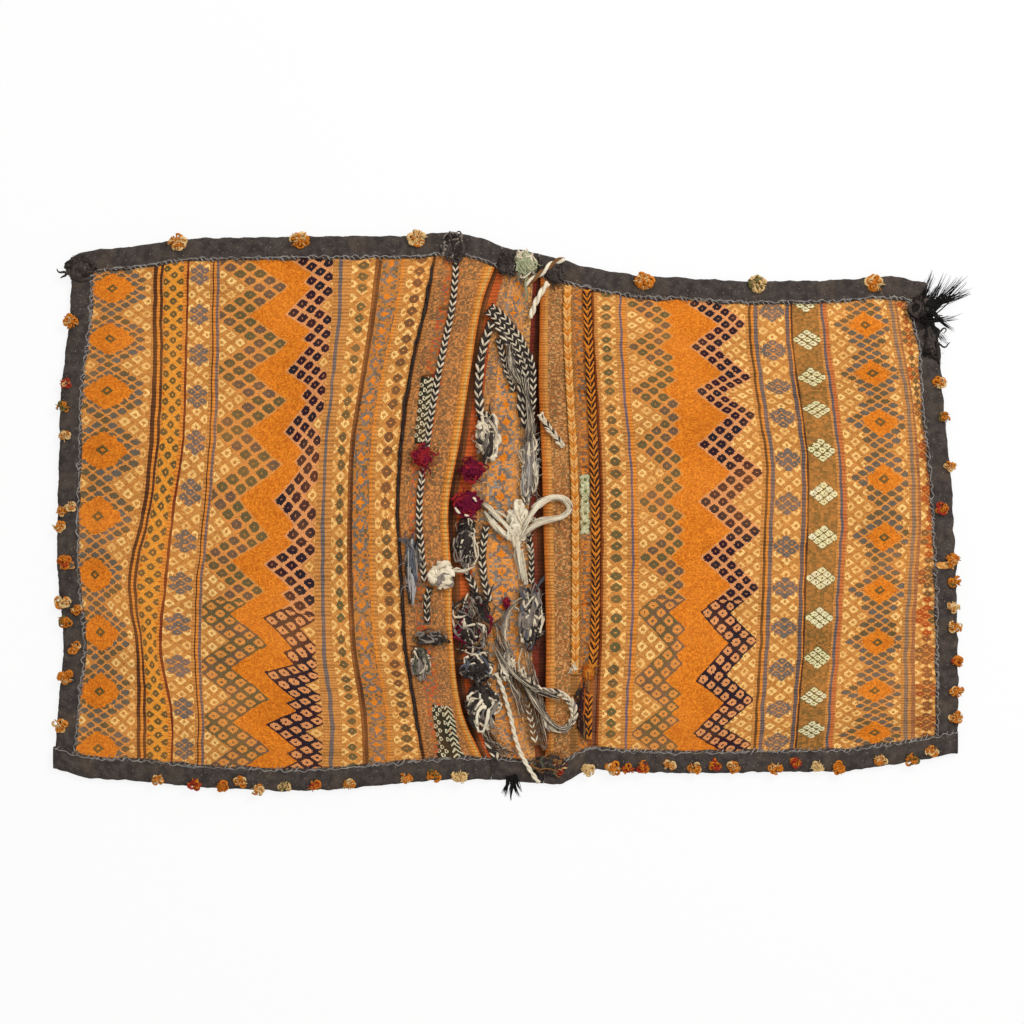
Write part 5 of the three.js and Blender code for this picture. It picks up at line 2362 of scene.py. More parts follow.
@dataclass(frozen=True)
class Patch:
    """A small cloth sewn flat on a border.

    Its corners run from the lower left one, counterclockwise, in millimetres.
    """

    name: str
    slot: Slot
    finish: Finish
    corners: tuple[tuple[float, float], ...]
    lift: float = 0.5
    thick: float = 1.5

    def build(self) -> None:
        """Builds the cloth over the face below it, with a frayed outline."""
        low_left, low_right, high_right, high_left = (np.array(corner) for corner in self.corners)
        wide = float(np.linalg.norm(low_right - low_left))
        high = float(np.linalg.norm(high_left - low_left))
        columns, rows = max(4, round(wide / 1.3)), max(6, round(high / 1.3))
        s, t = np.meshgrid(np.linspace(0, 1, columns), np.linspace(0, 1, rows))
        x, y = (
            (1 - t) * ((1 - s) * low_left[axis] + s * low_right[axis])
            + t * ((1 - s) * high_left[axis] + s * high_right[axis])
            for axis in range(2)
        )
        side = (2 * s - 1) * np.abs(2 * s - 1) ** 3
        x = x + side * Ripple(7, 0.7, len(self.name)).at(y, y * 0)
        z = face_top(x, y) + self.lift + Ripple(13, 0.5, len(self.name) + 5).at(x, y)
        edge = np.minimum(np.minimum(s, 1 - s) * wide, np.minimum(t, 1 - t) * high)
        top = z + self.thick * smooth(edge / 1.8)
        faces, _ = shell_faces(rows, columns)
        uv = rows_of(s * wide, t * high)
        points = np.concatenate([rows_of(x, y, top), rows_of(x, y, z - self.thick)])
        parts = Parts()
        parts.add(points, faces, np.concatenate([uv, uv]))
        publish(parts.build(self.name, (self.finish,)), self.slot)


PATCHES = (
    Patch(
        "upper_checker_tab", Slot.CHEVRON, Checker("checked tab"),
        ((-101, 74), (-84, 72), (-78, 146), (-93, 148)),
    ),
    Patch(
        "lower_checker_patch", Slot.CHEVRON, Checker("checked patch", middle=17.0),
        ((-74, -272), (-46, -274), (-60, -214), (-82, -212)),
    ),
    Patch(
        "pale_tab", Slot.PEACH, PaleTab("pale green tab"), ((81, -26), (92, -26), (92, 40), (81, 40)),
        lift=0.2,
    ),
)


@dataclass(frozen=True)
class StubBraid:
    """A short flat braid sewn on a cloth."""

    name: str
    points: Route
    width: float
    finishes: tuple[Finish, ...] = DARK_LIGHT

    def build(self) -> None:
        """Builds the braid with a few loose hairs."""
        path = smooth_path(self.points, 2.0)
        parts = Parts()
        Plait(path, self.width, 4.0, self.width * 0.46, (0, 1), 0.12, len(self.name)).add_to(parts)
        parts.add_core(path, self.width * 0.4, 0.6, 0.42)
        Strands(path, self.width * 0.6, 0.25, 24, (0.15, 0.4), (0, 1)).add_to(parts)
        publish(parts.build(self.name, self.finishes), Slot.CHEVRON)


STUB_BRAIDS = (
    StubBraid("bottom_stub_braid", ((-23, -240, 5.5), (-17, -256, 5.5), (-10, -273, 6.0)), 12),
    StubBraid("border_stub_braid", ((-84, -84, 14.5), (-87, -103, 14.5), (-86, -122, 14.5)), 8),
    StubBraid(
        "brown_twill_braid", ((6, -190, 5.5), (24, -214, 6.0), (36, -244, 8.0), (44, -262, 10)), 10,
        (BROWN_WOOL, GREY_WOOL),
    ),
    StubBraid("second_lower_braid", ((18, 3, 5.5), (27, -40, 5.5), (28, -80, 5.5)), 7),
    StubBraid(
        "inner_chevron_ply",
        (
            (-9, 204, 8.5), (0, 190, 8.5), (9, 174, 8.5), (15.5, 155, 8.5), (17, 135, 8.2),
            (16.5, 118, 7.6), (18, 103, 7),
        ),
        11,
    ),
)


@dataclass(frozen=True)
class SeamThread:
    """Black thread along a torn seam."""

    name: str
    warp: float
    seed: int

    def build(self) -> None:
        """Builds the thread, which wavers in the groove and shows now and then on top."""
        share = np.linspace(0.06, 0.945, 300)
        x, y = BAG.place(np.full_like(share, self.warp), share)
        x = x + Ripple(24, 0.9, self.seed).at(y, y * 0)
        z = face_top(x, y) - 0.9 + Ripple(16, 0.8, self.seed + 1).at(y, y * 0)
        path = rows_of(x, y, z)
        parts = Parts()
        Twist(path, 3.4, 9.0).add_to(parts)
        Strands(path, 1.6, 0.3, 90, (0.008, 0.03), seed=self.seed).add_to(parts)
        publish(parts.build(self.name, (CHARCOAL,)), Slot.CHEVRON)


# Knots, lumps, tufts and hair


@dataclass(frozen=True)
class Tangle:
    """A knot of rags or yarn: loops wound over and through each other, and loose ends.

    A trail is the route of a loose end from the knot, in millimetres.
    """

    name: str
    slot: Slot
    finishes: tuple[Finish, ...]
    middle: Point
    half: Point
    bands: int
    band_radius: float
    ends: int
    end_length: float
    fuzz: int
    seed: int
    core: int = 0
    flat: float = 0.6
    stringy: float = 1.0
    trails: tuple[Route, ...] = ()

    def build(self) -> None:
        """Builds the core, the loops, the ends and the fuzz."""
        rng = np.random.default_rng(SEED * 7 + self.seed)
        parts = Parts()
        self.add_core(parts)
        for index in range(self.bands):
            self.add_band(parts, rng, index)
        for index in range(self.ends):
            self.add_end(parts, rng, self.end_length, self.band_radius * 0.42, index, 10)
        for index in range(round(self.fuzz * 0.6)):
            self.add_end(parts, rng, self.end_length * 0.9, 0.3, index + 1, 7)
        for number, trail in enumerate(self.trails):
            path = smooth_path(trail, 2.0)
            tint = (number % len(self.finishes),)
            Strands(path, self.band_radius * 0.35, self.band_radius * 0.3, 4, tints=tint).add_to(parts)
            Strands(path, self.band_radius * 0.9, 0.3, 16, (0.2, 0.7), tint, seed=number).add_to(parts)
        publish(parts.build(f"{self.name}_tangle", self.finishes), self.slot, *self.stands_for())

    def stands_for(self) -> tuple[str, ...]:
        """CAD nodes in whose place the knot stands."""
        return (self.name,)

    @property
    def floor(self) -> float:
        """Height of what the knot lies on."""
        return self.middle[2] - self.half[2]

    def add_core(self, parts: Parts) -> None:
        """A lumpy oval inside.

        Args:
            parts: The piece that it goes to.
        """
        across = np.linspace(-0.98, 0.98, 13)
        still = np.zeros_like(across)
        path = rows_of(still, across, still)
        points, quads, uv = tube(path, np.sqrt(1 - across**2), 14)
        bumps = 0.62 + Ripple(0.8, 0.12, self.seed).at(points[:, 0], points[:, 1] + points[:, 2])
        placed = np.array(self.middle) + points * bumps[:, None] * np.array(self.half)
        parts.add(placed, quads, uv * 8, self.core)

    def add_band(self, parts: Parts, rng: np.random.Generator, index: int) -> None:
        """A loop of rag or yarn round a part of the knot, slanting and wandering.

        Args:
            parts: The piece that it goes to.
            rng: Source of chance.
            index: Number of the loop.
        """
        half = np.array(self.half)
        size = rng.uniform(0.24, 0.66)
        angle = rng.uniform(0, 2 * math.pi)
        away = (1 - size) * math.sqrt(rng.random())
        centre = np.array(self.middle) + half * [math.cos(angle) * away, math.sin(angle) * away, 0]
        centre[2] += half[2] * rng.uniform(-0.1, 0.3)
        normal = rng.normal(0, 1, 3) * [1.0, 1.0, 0.6]
        normal /= np.linalg.norm(normal)
        first = np.cross(normal, [0.3, 0.2, 1.0])
        first /= np.linalg.norm(first)
        second = np.cross(normal, first)
        turn = np.linspace(0, 2 * math.pi * rng.uniform(0.75, 1.0), 15) + rng.uniform(0, 6)
        wander = 0.45 * np.sin(turn * 2 + rng.uniform(0, 6)) + rng.uniform(-0.4, 0.4)
        loop = np.cos(turn)[:, None] * first + np.sin(turn)[:, None] * second + wander[:, None] * normal
        kinks = 1 + 0.22 * np.sin(turn * 2 + rng.uniform(0, 6)) + 0.14 * np.sin(turn * 5 + rng.uniform(0, 6))
        loop *= (kinks / np.linalg.norm(loop, axis=1))[:, None]
        radius = self.band_radius * rng.uniform(0.55, 1.1)
        path = centre + loop * np.maximum(half * size * [1.1, 1.1, 1.0] - radius * 0.5, half * 0.25)
        path[:, 2] = np.maximum(path[:, 2], self.floor + radius * 0.7)
        swell = 1 + 0.25 * np.sin(turn * 3 + rng.uniform(0, 6))
        tint = index % len(self.finishes)
        parts.add_tube(path, radius * swell * (1 - 0.3 * self.stringy), 6, self.flat, 31 * index, tint)
        if self.stringy and index % 2:
            seed = self.seed * 100 + index
            Strands(path, radius * 0.8, radius * 0.4, 3, (0.7, 1.0), (tint,), 4, seed, 4.0).add_to(parts)

    def add_end(
        self, parts: Parts, rng: np.random.Generator, length: float, radius: float, index: int, steps: int
    ) -> None:
        """A loose end that leaves the knot, bends and lies down.

        Args:
            parts: The piece that it goes to.
            rng: Source of chance.
            length: Its usual length.
            radius: Its radius at the knot.
            index: Number of the end.
            steps: How many straight bits it has.
        """
        half = np.array(self.half)
        angle = rng.uniform(0, 2 * math.pi)
        start = np.array(self.middle) + [math.cos(angle), math.sin(angle), 0.0] * half * rng.uniform(0.1, 0.9)
        start[2] += half[2] * rng.uniform(0.0, 0.6)
        angle = math.atan2(math.sin(angle) * half[1] ** 2, math.cos(angle) * half[0] ** 2)
        share = np.linspace(0, 1, steps + 1)
        reach = length * rng.uniform(0.35, 1.1)
        turn = angle + rng.normal(0, 0.8) + rng.normal(0, 2.4) * share
        turn = turn + rng.uniform(0.3, 1.2) * np.sin(share * rng.uniform(3, 9) + rng.uniform(0, 6))
        moves = rows_of(np.cos(turn), np.sin(turn), turn * 0) * reach / steps
        path = start + np.concatenate([[np.zeros(3)], np.cumsum(moves[1:], axis=0)])
        floor = self.floor + radius
        wave = 1.2 * np.abs(np.sin(share * 5 + angle)) * share
        path[:, 2] = floor + (start[2] - floor) * (1 - share) ** 1.2 + wave
        tint = index % len(self.finishes)
        parts.add_tube(path, radius * (1 - 0.75 * share**2), shift=17 * index, finish=tint)


@dataclass(frozen=True)
class Rag(Tangle):
    """A knot of rags or yarn that the frame does not have."""

    def stands_for(self) -> tuple[str, ...]:
        """No CAD nodes."""
        return ()


PIED = (WHITE_WOOL, CHARCOAL, CREAM_WOOL, GREY_WOOL)
TANGLES = (
    Tangle(
        "braid_knot", Slot.CHEVRON, (WHITE_WOOL, GREY_WOOL, CREAM_WOOL, CHARCOAL, WHITE_WOOL),
        (-20, 80, 10.0), (13, 29, 8), 46, 2.4, 12, 22, 70, 1, 3, flat=0.9, stringy=0.4,
        trails=(
            ((-24, 104, 11), (-16, 96, 15), (-10, 84, 16), (-13, 72, 15), (-22, 64, 14)),
            ((-26, 92, 15), (-18, 84, 17), (-24, 72, 16), (-17, 62, 13), (-20, 54, 10)),
        ),
    ),
    Tangle(
        "white_rag_knot", Slot.CREAM,
        (CREAM_WOOL, WHITE_WOOL, CREAM_WOOL, WHITE_WOOL, WHITE_WOOL, GREY_WOOL), (-70, -70, 20.2),
        (17, 15, 7), 22, 3.0, 4, 16, 30, 2, stringy=0,
        trails=(((-60, -64, 22), (-52, -66, 20), (-42, -64, 14), (-34, -60, 9)),),
    ),
    Tangle(
        "red_rag_knot", Slot.RED, (RED_RAG, RED_RAG, MAROON_RAG), (-91, 59, 19.6), (12, 14, 5), 18, 2.0, 8,
        18, 80, 3,
    ),
    Tangle(
        "upper_maroon_knot", Slot.MAROON, (MAROON_RAG, MAROON_RAG, RED_RAG, MAROON_RAG), (-35, 45, 9.5),
        (14, 14, 7), 26, 2.1, 8, 18, 40, 4, flat=0.9,
    ),
    Tangle(
        "lower_maroon_knot", Slot.MAROON, (MAROON_RAG, MAROON_RAG, MAROON_RAG, RED_RAG), (-41, 8, 9.5),
        (18, 16, 7), 34, 2.1, 6, 16, 40, 5, flat=0.9,
    ),
    Tangle(
        "upper_rag_bundle", Slot.GREY, (GREY_WOOL, WHITE_WOOL, CHARCOAL, BLUE_RAG, CHARCOAL),
        (-31, -172, 11.5), (20, 18, 9), 34, 2.2, 10, 22, 70, 6, 2,
    ),
    Tangle(
        "lower_rag_bundle", Slot.GREY, (WHITE_WOOL, CHARCOAL, CREAM_WOOL, CHARCOAL, GREY_WOOL),
        (-25, -212, 12.5), (21, 27, 10), 46, 2.4, 8, 20, 60, 7, 1, stringy=0.5,
    ),
    Tangle(
        "wool_bow_knot", Slot.CREAM, (CREAM_WOOL, CREAM_WOOL, WHITE_WOOL), (13, -14, 10.5), (13, 27, 8), 26,
        2.8, 8, 22, 90, 8, stringy=0.4,
        trails=(
            ((4, -20, 12), (-6, -8, 10), (-16, 2, 7), (-26, 10, 5)),
            ((6, -12, 12), (-4, -4, 10), (-12, 0, 7), (-22, -4, 5)),
            ((12, -34, 10), (10, -48, 7), (14, -62, 5), (16, -76, 5)),
        ),
    ),
    Tangle(
        "grey_wool_bundle", Slot.GREY, (GREY_WOOL, BLUE_RAG, WHITE_WOOL, CHARCOAL, GREY_WOOL),
        (26, -118, 10.5), (15, 37, 8), 46, 2.1, 18, 30, 120, 9,
        trails=(
            ((14, -100, 14), (4, -106, 10), (-3, -124, 8), (-2, -146, 8), (6, -162, 8)),
            ((30, -90, 15), (36, -80, 12), (44, -70, 8), (46, -60, 8)),
            ((18, -150, 12), (14, -168, 9), (22, -186, 9), (34, -200, 14)),
        ),
    ),
    Tangle(
        "green_wool_lump", Slot.GREEN, (GREEN_WOOL, WHITE_WOOL, GREEN_WOOL, CREAM_WOOL), (21, 272, 13.1),
        (14, 17, 6), 34, 1.9, 10, 14, 70, 10,
        trails=(((24, 262, 14), (21, 248, 12), (24, 236, 9), (20, 226, 6)),),
    ),
    Tangle(
        "dark_rag_strip", Slot.GREY, (CHARCOAL, GREY_WOOL, CHARCOAL), (-80, -140, 16.3), (20, 9, 4), 22,
        2.2, 8, 18, 50, 11,
    ),
    Rag(
        "blue_rag_fray", Slot.GREY, (BLUE_RAG, GREY_WOOL, CHARCOAL, PALE_GREY), (-102, -62, 15.5),
        (9, 38, 4), 30, 1.9, 10, 22, 90, 12,
    ),
    Rag(
        "grey_border_rag", Slot.GREY, (GREY_WOOL, OLIVE_RAG, CHARCOAL, WHITE_WOOL), (-94, -166, 15.5),
        (12, 22, 4), 26, 1.9, 8, 18, 60, 13,
    ),
    Rag(
        "pied_rags", Slot.CHEVRON, (CHARCOAL, WHITE_WOOL, CHARCOAL, GREY_WOOL), (-44, -36, 8.5),
        (14, 30, 6), 50, 1.7, 8, 14, 50, 14, flat=1.0,
    ),
    Rag(
        "dark_wool_clump", Slot.GREY,
        (CHARCOAL, GREY_WOOL, CHARCOAL, BROWN_WOOL, CHARCOAL, WHITE_WOOL, MAROON_RAG), (-37, -124, 9.0),
        (23, 34, 6.0), 56, 2.0, 16, 26, 130, 15, flat=0.8,
        trails=(
            ((-36, -118, 15), (-26, -108, 13), (-18, -92, 9), (-14, -80, 6)),
            ((-36, -118, 15), (-46, -112, 13), (-56, -108, 9), (-60, -98, 8)),
            ((-34, -120, 15), (-30, -134, 13), (-28, -150, 10), (-20, -160, 7)),
            ((-36, -120, 15), (-24, -124, 12), (-12, -122, 7), (-4, -116, 5)),
        ),
    ),
    Rag(
        "maroon_scrap", Slot.MAROON, (MAROON_RAG, RED_RAG), (1, -101, 5.5), (5, 7, 3), 8, 1.6, 4, 8, 14, 16,
    ),
    Rag(
        "grey_frayed_wool", Slot.GREY, (WHITE_WOOL, GREY_WOOL, PALE_GREY, CREAM_WOOL), (26, 50, 9.0),
        (11, 42, 6), 34, 1.6, 14, 30, 120, 17, 1,
    ),
    Rag("white_scrap", Slot.CREAM, (CREAM_WOOL,), (33, 40, 15.6), (3.2, 3.2, 2.6), 6, 1.3, 2, 8, 8, 18),
    Rag(
        "peach_braid_end", Slot.CREAM, (CREAM_WOOL, PEACH_WOOL), (75, -171, 15.6), (4, 5, 3), 7, 1.5, 6, 10,
        26, 19,
    ),
    Rag(
        "orange_torn_rags", Slot.TWO_TONE, (GOLD_WOOL, ORANGE_RAG, BROWN_WOOL), (91, -176, 14.4),
        (8, 11, 2.6), 18, 1.5, 10, 12, 60, 20,
    ),
    Rag(
        "dark_torn_wool", Slot.GREY, (BROWN_BLACK, BROWN_WOOL, CHARCOAL, ORANGE_RAG, BROWN_BLACK),
        (84, -216, 13.8), (8, 30, 2.6), 44, 1.6, 10, 14, 70, 21,
    ),
    Rag(
        "ragged_lower_strand", Slot.CHEVRON, PIED, (2, -170, 7.5), (9, 22, 5), 26, 1.7, 8, 20, 60, 22,
        trails=(
            ((-14, -150, 8), (-8, -162, 9), (-3, -176, 9), (6, -190, 9), (16, -204, 10)),
            ((4, -168, 9), (14, -184, 9), (26, -204, 12), (38, -222, 16)),
        ),
    ),
    Rag(
        "left_top_felt_lump", Slot.FELT, (FELT, CHARCOAL, FELT, GREY_WOOL, FELT, CHARCOAL),
        (-58, 290, 12.5), (14, 18, 5), 34, 2.4, 8, 14, 40, 23,
    ),
    Rag(
        "bridge_felt_lump", Slot.FELT, (FELT, CHARCOAL, FELT), (2, 270, 11.0), (13, 15, 6), 26, 2.6, 6, 12,
        40, 24,
    ),
    Rag(
        "right_felt_lump", Slot.FELT, (FELT, FELT, CHARCOAL), (53, 259, 12.0), (12, 14, 4), 22, 2.6, 6, 12,
        30, 25,
    ),
    Rag(
        "left_corner_lump", Slot.FELT, (FELT, CHARCOAL), (-468, 266, 10.5), (18, 15, 4), 18, 3.6, 8, 14, 40,
        26,
    ),
    Rag(
        "right_corner_lump", Slot.FELT, (CHARCOAL, FELT, BLACK_HAIR), (455, 222, 11.5), (15, 15, 5), 24,
        3.0, 10, 18, 60, 27,
    ),
    Rag(
        "right_end_lump", Slot.FELT, (FELT, CHARCOAL, BLACK_HAIR), (467, 186, 10.5), (11, 20, 4), 18, 2.8,
        10, 18, 50, 28,
    ),
    Rag(
        "bottom_dark_lump", Slot.FELT, (CHARCOAL, BROWN_WOOL, FELT, OLIVE_RAG), (47, -279, 11.0),
        (20, 13, 5), 22, 2.8, 10, 16, 60, 29,
    ),
)


@dataclass(frozen=True)
class Fluff:
    """Loose fibres of wool that follow one route or several, in millimetres."""

    name: str
    slot: Slot
    finishes: tuple[Finish, ...]
    spread: float
    radius: float
    count: int
    routes: tuple[Route, ...]
    cover: tuple[float, float] = (0.25, 0.9)
    rise: float = 0.8

    def build(self) -> None:
        """Builds the fibres of every route, and finer ones round them."""
        parts = Parts()
        tints = tuple(range(len(self.finishes)))
        coarse = (self.spread, self.radius, self.count, 0)
        fine = (self.spread * 1.6, 0.22, self.count // 2, 40)
        for number, route in enumerate(self.routes):
            path = smooth_path(route, 2.0)
            for spread, radius, count, more in (coarse, fine):
                seed = SEED + number + len(self.name) + more
                loose = Strands(path, spread, radius, count, self.cover, tints, seed=seed, rise=self.rise)
                loose.add_to(parts)
        publish(parts.build(self.name, self.finishes), self.slot)


FLUFFS = (
    Fluff(
        "lower_bridge_fluff", Slot.GREY, (BROWN_WOOL, GREY_WOOL, CHARCOAL, WHITE_WOOL), 7.5, 0.32, 60,
        (
            ((-42, -96, 12), (-34, -112, 14), (-26, -136, 12), (-20, -158, 12)),
            ((-12, -120, 7), (-4, -146, 8), (6, -176, 8), (14, -210, 8), (22, -240, 9)),
            ((22, -150, 10), (28, -180, 11), (34, -206, 13), (40, -236, 16), (44, -262, 15)),
            ((-24, -234, 12), (-16, -250, 9), (-4, -262, 8), (10, -268, 8)),
        ),
        (0.1, 0.4), 0.3,
    ),
    Fluff(
        "maroon_knot_spots", Slot.CREAM, (CREAM_WOOL,), 0.7, 1.3, 5,
        (
            ((-56, 4, 14), (-53, 0, 14.5), (-50, -3, 14)), ((-46, -4, 14), (-43, -5, 14), (-40, -5, 14)),
            ((-37, 15, 15.5), (-34, 13, 15.5), (-32, 10, 15)),
        ),
    ),
    Fluff(
        "wool_bow_fluff", Slot.CREAM, (CREAM_WOOL,), 3.0, 1.15, 26,
        (
            ((14, -30, 15), (26, -8, 18), (38, 8, 19), (52, 15, 19), (66, 12, 18.6), (71, 3, 18.6)),
            ((14, -32, 15), (28, -18, 17), (44, -11, 19), (58, -8, 19), (68, -2, 18.6), (71, 6, 18.6)),
            ((13, -30, 15), (4, -20, 14), (-6, -10, 11), (-18, 2, 9), (-28, 10, 8)),
            ((13, -34, 14), (2, -28, 12), (-10, -18, 10), (-20, -6, 8)),
            ((13, -26, 15), (14, -44, 11), (17, -60, 9), (21, -78, 8)),
        ),
    ),
    Fluff(
        "upper_braid_fluff", Slot.CHEVRON, (WHITE_WOOL, GREY_WOOL, CHARCOAL), 4.2, 0.5, 50,
        (
            ((4, 186, 13), (5, 170, 12), (7, 156, 11), (12, 146, 10), (18, 138, 10)),
            ((20, 150, 15), (23, 130, 15), (26, 110, 15), (27, 92, 15), (24, 72, 14)),
        ),
    ),
    Fluff(
        "lower_loop_fluff", Slot.CHEVRON, (WHITE_WOOL, GREY_WOOL, CHARCOAL), 3.4, 0.42, 46,
        (
            (
                (-12, -148, 9), (-2, -166, 10), (10, -180, 11), (26, -192, 16), (44, -200, 20),
                (62, -206, 20),
            ),
            (
                (12, -176, 10), (24, -196, 13), (38, -218, 19), (52, -234, 20), (66, -238, 20),
                (74, -226, 20),
            ),
        ),
    ),
    Fluff(
        "left_border_fluff", Slot.GREY, (GREY_WOOL, PALE_GREY, BLUE_RAG), 4.0, 0.3, 40,
        (((-120, -30, 15.5), (-108, -34, 16), (-98, -48, 16), (-92, -64, 16)),),
    ),
)


TUFT_FINISHES = (ORANGE_YARN, PALE_YARN, RED_YARN, OLIVE_YARN)
TUFT_PLACES: dict[str, tuple[float, float, float, tuple[int, int]]] = {
    "top_first": (-360, 295, 12, (0, 1)),
    "top_second": (-226, 297, 12, (0, 1)),
    "top_third": (-97, 299, 12, (1, 0)),
    "top_fourth": (151, 252, 12, (0, 1)),
    "top_fifth": (275, 249, 12, (1, 3)),
    "top_sixth": (405, 250, 12, (0, 1)),
    "left_upper": (-484, 82, 8, (1, 0)),
    "left_middle": (-488, 0, 8, (0, 1)),
    "bottom_first": (-382, -295, 8, (0, 1)),
    "bottom_second": (-311, -302, 8, (0, 2)),
    "bottom_third": (-243, -302, 8, (1, 3)),
    "bottom_fourth": (-172, -300, 8, (1, 0)),
    "bottom_fifth": (134, -283, 8, (0, 2)),
    "right_upper": (481, 103, 8, (0, 3)),
    "right_middle": (487, 49, 8, (0, 1)),
}
SMALL_TUFTS: tuple[tuple[float, float, float, tuple[int, int]], ...] = (
    (-478, 208, 8, (0, 1)), (-484, 140, 6, (2, 1)), (-486, 114, 7, (0, 3)), (-478, 5, 6, (1, 0)),
    (-490, -17, 7, (0, 1)), (-484, -56, 8, (0, 2)), (-487, -100, 8, (1, 0)), (-471, -108, 6, (0, 1)),
    (-484, -121, 7, (0, 3)), (-474, -150, 7, (0, 1)), (-484, -182, 8, (0, 1)), (-489, -235, 8, (1, 0)),
    (-342, -300, 7, (2, 0)), (-292, -297, 7, (0, 1)), (-273, -306, 7, (1, 0)), (-210, -301, 7, (0, 2)),
    (-110, -293, 7, (0, 1)), (-79, -290, 7, (0, 3)), (-51, -291, 8, (1, 1)), (58, -281, 8, (2, 1)),
    (90, -284, 7, (1, 1)), (118, -283, 8, (0, 1)), (150, -281, 7, (0, 2)), (179, -279, 7, (1, 0)),
    (206, -282, 7, (0, 1)), (229, -278, 7, (0, 2)), (250, -281, 7, (0, 1)), (295, -282, 7, (0, 1)),
    (317, -276, 7, (2, 0)), (341, -280, 7, (1, 1)), (364, -282, 8, (0, 0)), (411, -273, 7, (0, 1)),
    (445, -273, 7, (0, 3)), (467, -264, 7, (0, 1)), (468, 190, 5, (1, 1)), (475, 140, 7, (0, 1)),
    (478, 3, 7, (0, 2)), (490, -53, 8, (0, 1)), (492, -78, 7, (0, 3)), (491, -105, 7, (1, 0)),
    (492, -127, 7, (0, 1)), (495, -165, 7, (0, 2)), (494, -198, 7, (0, 1)), (493, -226, 7, (0, 1)),
)


@dataclass(frozen=True)
class Tuft:
    """A bunch of cut yarn sewn on a binding."""

    place: Point
    size: float
    tints: tuple[int, int]
    seed: int
    loops: int
    strands: int

    def add_to(self, parts: Parts) -> None:
        """Adds short fat curls of yarn heaped on each other, and cut ends between them.

        Args:
            parts: The piece that they go to.
        """
        rng = np.random.default_rng(SEED * 3 + self.seed)
        half = np.array([1.0, 0.82, 0.55]) * self.size
        for index in range(self.loops):
            angle = rng.uniform(0, 2 * math.pi)
            away = 0.62 * math.sqrt(rng.random())
            centre = np.array([math.cos(angle) * away, math.sin(angle) * away, 0.5 * (1 - away)]) * half
            turn = np.linspace(0, rng.uniform(3.4, 5.6), 8) + rng.uniform(0, 6)
            tilt = rng.normal(0, 0.7, 2)
            ring = rows_of(np.cos(turn), np.sin(turn), tilt[0] * np.cos(turn) + tilt[1] * np.sin(turn))
            path = np.array(self.place) + centre + ring * self.size * rng.uniform(0.2, 0.36) * [1, 1, 0.5]
            path[:, 2] = np.maximum(path[:, 2], self.place[2])
            radii = self.size * rng.uniform(0.12, 0.17) * np.sin(math.pi * np.linspace(0.15, 0.85, 8)) ** 0.4
            parts.add_tube(path, radii, shift=29 * index, finish=self.tints[int(rng.random() < 0.3)])
        share = np.linspace(0, 1, 4)
        radii = self.size * 0.055 * np.array([1.0, 1.1, 1.0, 0.7])
        for _ in range(self.strands):
            angle = rng.uniform(0, 2 * math.pi)
            out = np.array([math.cos(angle), math.sin(angle) * 0.85, 0.0])
            start = out * self.size * rng.uniform(0.1, 0.6)
            start[2] = self.size * 0.45
            path = np.array(self.place) + start + out * (self.size * rng.uniform(0.25, 0.5) * share)[:, None]
            path[:, 2] -= self.size * rng.uniform(0.1, 0.4) * share**2
            parts.add_tube(path, radii, shift=rng.uniform(0, 200), finish=self.tints[int(rng.random() < 0.4)])


@dataclass(frozen=True)
class Tufts:
    """All the tufts of the bindings."""

    seat: float = 9.3

    def build(self) -> None:
        """Builds one piece for each tuft of the frame, and one for the many small ones."""
        for number, (name, (x, y, size, tints)) in enumerate(TUFT_PLACES.items()):
            parts = Parts()
            loops = 18 if size > 10 else 12
            Tuft((x, y, self.seat), size, tints, number, loops, loops * 2).add_to(parts)
            node = f"{name}_tuft"
            publish(parts.build(f"{node}_yarns", TUFT_FINISHES), Slot.TUFT, node)
        parts = Parts()
        for number, (x, y, size, tints) in enumerate(SMALL_TUFTS):
            Tuft((x, y, self.seat), size * 1.25, tints, number + 50, 13, 16).add_to(parts)
        publish(parts.build("small_tufts", TUFT_FINISHES), Slot.TUFT)


@dataclass(frozen=True)
class Hair:
    """Locks of coarse hair that spread from a root, curl and droop to a point.

    A lock has an angle, a length and a curl.
    """

    node: str
    root: Point
    locks: tuple[Point, ...]
    root_width: float
    strands: int
    seed: int
    floor: float = 1.0

    def build(self) -> None:
        """Builds the strands of every lock."""
        rng = np.random.default_rng(SEED + self.seed)
        parts = Parts()
        share = np.linspace(0, 1, 9)
        for angle, length, curl in self.locks:
            origin = rng.uniform(-0.5, 0.5) * self.root_width
            across = np.array([-math.sin(angle), math.cos(angle)])
            for _ in range(self.strands):
                reach = length * rng.uniform(0.55, 1.05)
                heading = angle + curl * share + rng.normal(0, 0.05)
                steps = np.stack([np.cos(heading), np.sin(heading)], axis=1) * reach / 8
                middle = np.concatenate([[np.zeros(2)], np.cumsum(steps[1:], axis=0)])
                aside = origin + rng.normal(0, 0.13) * self.root_width * (1 - 0.85 * share)
                flat = np.array(self.root[:2]) + middle + aside[:, None] * across
                high = self.root[2] + rng.uniform(-1.0, 3.5)
                z = self.floor + (high - self.floor) * (1 - smooth((share - 0.15) / 0.85))
                path = np.concatenate([flat, z[:, None]], axis=1)
                radii = 0.62 * (1 - 0.85 * share**2) * rng.uniform(0.6, 1.2)
                parts.add_tube(path, radii, shift=rng.uniform(0, 300))
        publish(parts.build(f"{self.node}_strands", (BLACK_HAIR,)), Slot.HAIR, self.node)


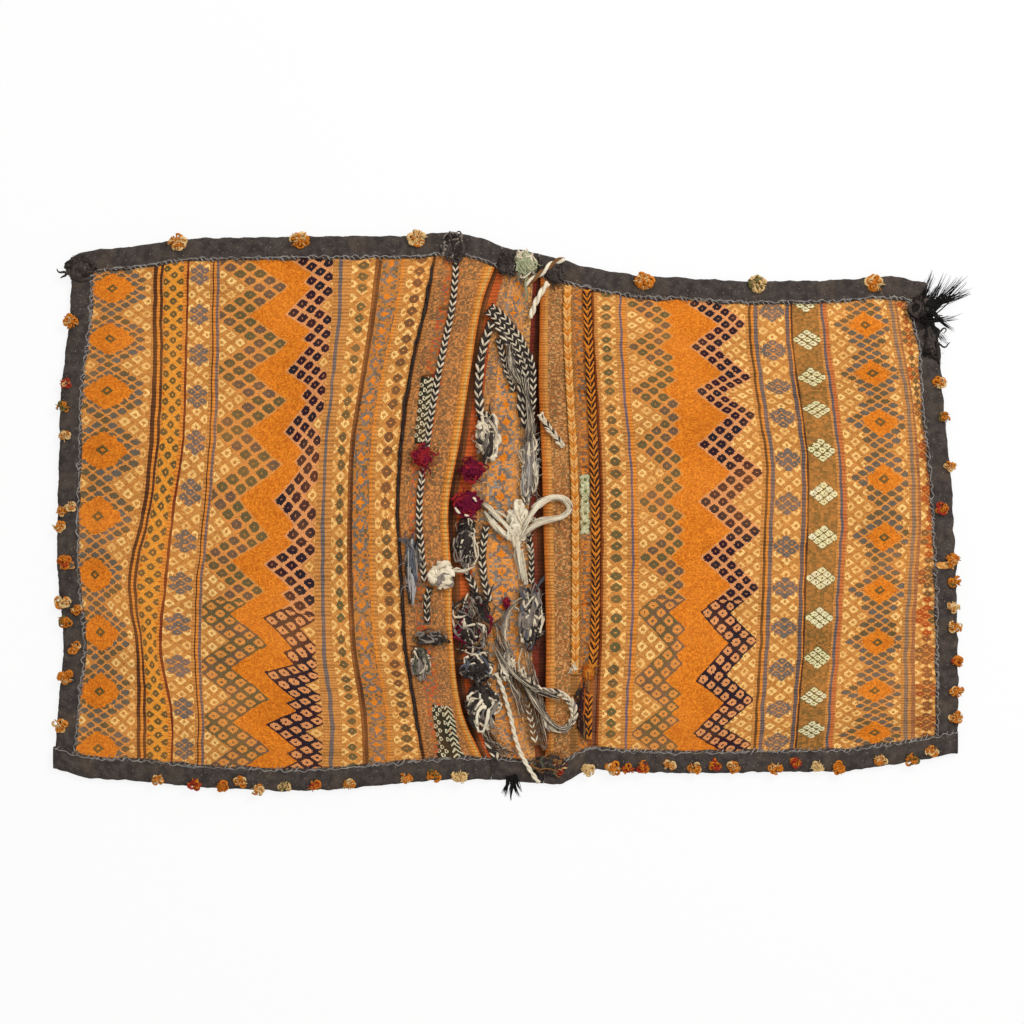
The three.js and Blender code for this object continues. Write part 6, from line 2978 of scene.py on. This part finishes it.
HAIRS = (
    Hair(
        "corner_hair_tassel", (460, 218, 11.5),
        (
            (-0.95, 38, 0.5), (-0.55, 46, -0.3), (-0.2, 44, 0.5), (0.05, 52, 0.35), (0.28, 60, 0.2),
            (0.45, 60, 0.3), (0.62, 56, 0.25), (0.8, 50, 0.3), (1.05, 44, 0.2), (1.3, 32, -0.3),
        ),
        22, 16, 1,
    ),
    Hair(
        "bottom_hair_tuft", (6, -291, 7.4),
        ((-1.0, 22, -0.3), (-1.35, 26, 0.2), (-1.6, 24, -0.2), (-1.9, 27, 0.3), (-2.2, 22, 0.3)), 12, 18, 2,
    ),
)


ON_BACK = ("back_cloth_weave",)
CLOTHS = (
    BackCloth("back_cloth", Slot.BACK, BRIDGE_BANDS, RIGHT_END - INSET, (0.98, 0.56), ("floor",), LEFT_ROWS),
    Panel(
        "left_pouch_front", Slot.PATTERNED, LEFT_BANDS, -102 - GAP, (0.385, 0.59), ON_BACK, LEFT_ROWS,
        LEFT_END, grooves=((-102, 2.6), (-323, 1.2), (-362, 0.9), (-387, 1.0), (-200, 0.8), (-156, 1.0)),
    ),
    Panel(
        "right_pouch_front", Slot.PATTERNED, RIGHT_BANDS, RIGHT_END - INSET, (0.385, 0.54), ON_BACK,
        RIGHT_ROWS, RIGHT_END, grooves=((99, 2.0), (274, 1.2), (287, 0.8), (354, 1.0), (433, 0.8)),
    ),
    Panel(
        "left_closure_border", Slot.BORDER, LEFT_BORDER_BANDS, -40, (0.062, 0.59), ON_BACK, LEFT_ROWS,
        slits=(0.33, 0.46, 0.6, 0.74, 0.86), slit_warps=(-91, -77), grooves=((-102, 2.6), (-51, 1.2)),
        spacing=2.6,
    ),
    Panel(
        "right_closure_border", Slot.BORDER, RIGHT_BORDER_BANDS, 99 - GAP, (0.059, 0.56), ON_BACK, RIGHT_ROWS,
        slits=(0.33, 0.48, 0.6, 0.75, 0.89), slit_warps=(77, 90), grooves=((99, 2.0), (50, 1.0)),
        spacing=2.6,
    ),
)


def main() -> None:
    """Builds the studio and every piece, in order, and reports each."""
    logging.basicConfig(level=logging.INFO, format="%(message)s")
    studio = Studio()
    studio.camera()
    seam = SeamThread("left_seam_thread", -102, 31)
    sewn = (*BINDINGS, *SEWN_BRAIDS, *PATCHES, *STUB_BRAIDS, seam)
    for piece in (*CORDS, *CLOTHS, *sewn, *TANGLES, *FLUFFS, Tufts(), *HAIRS):
        piece.build()
    studio.floor()
    studio.light()


if __name__ == "__main__":
    main()
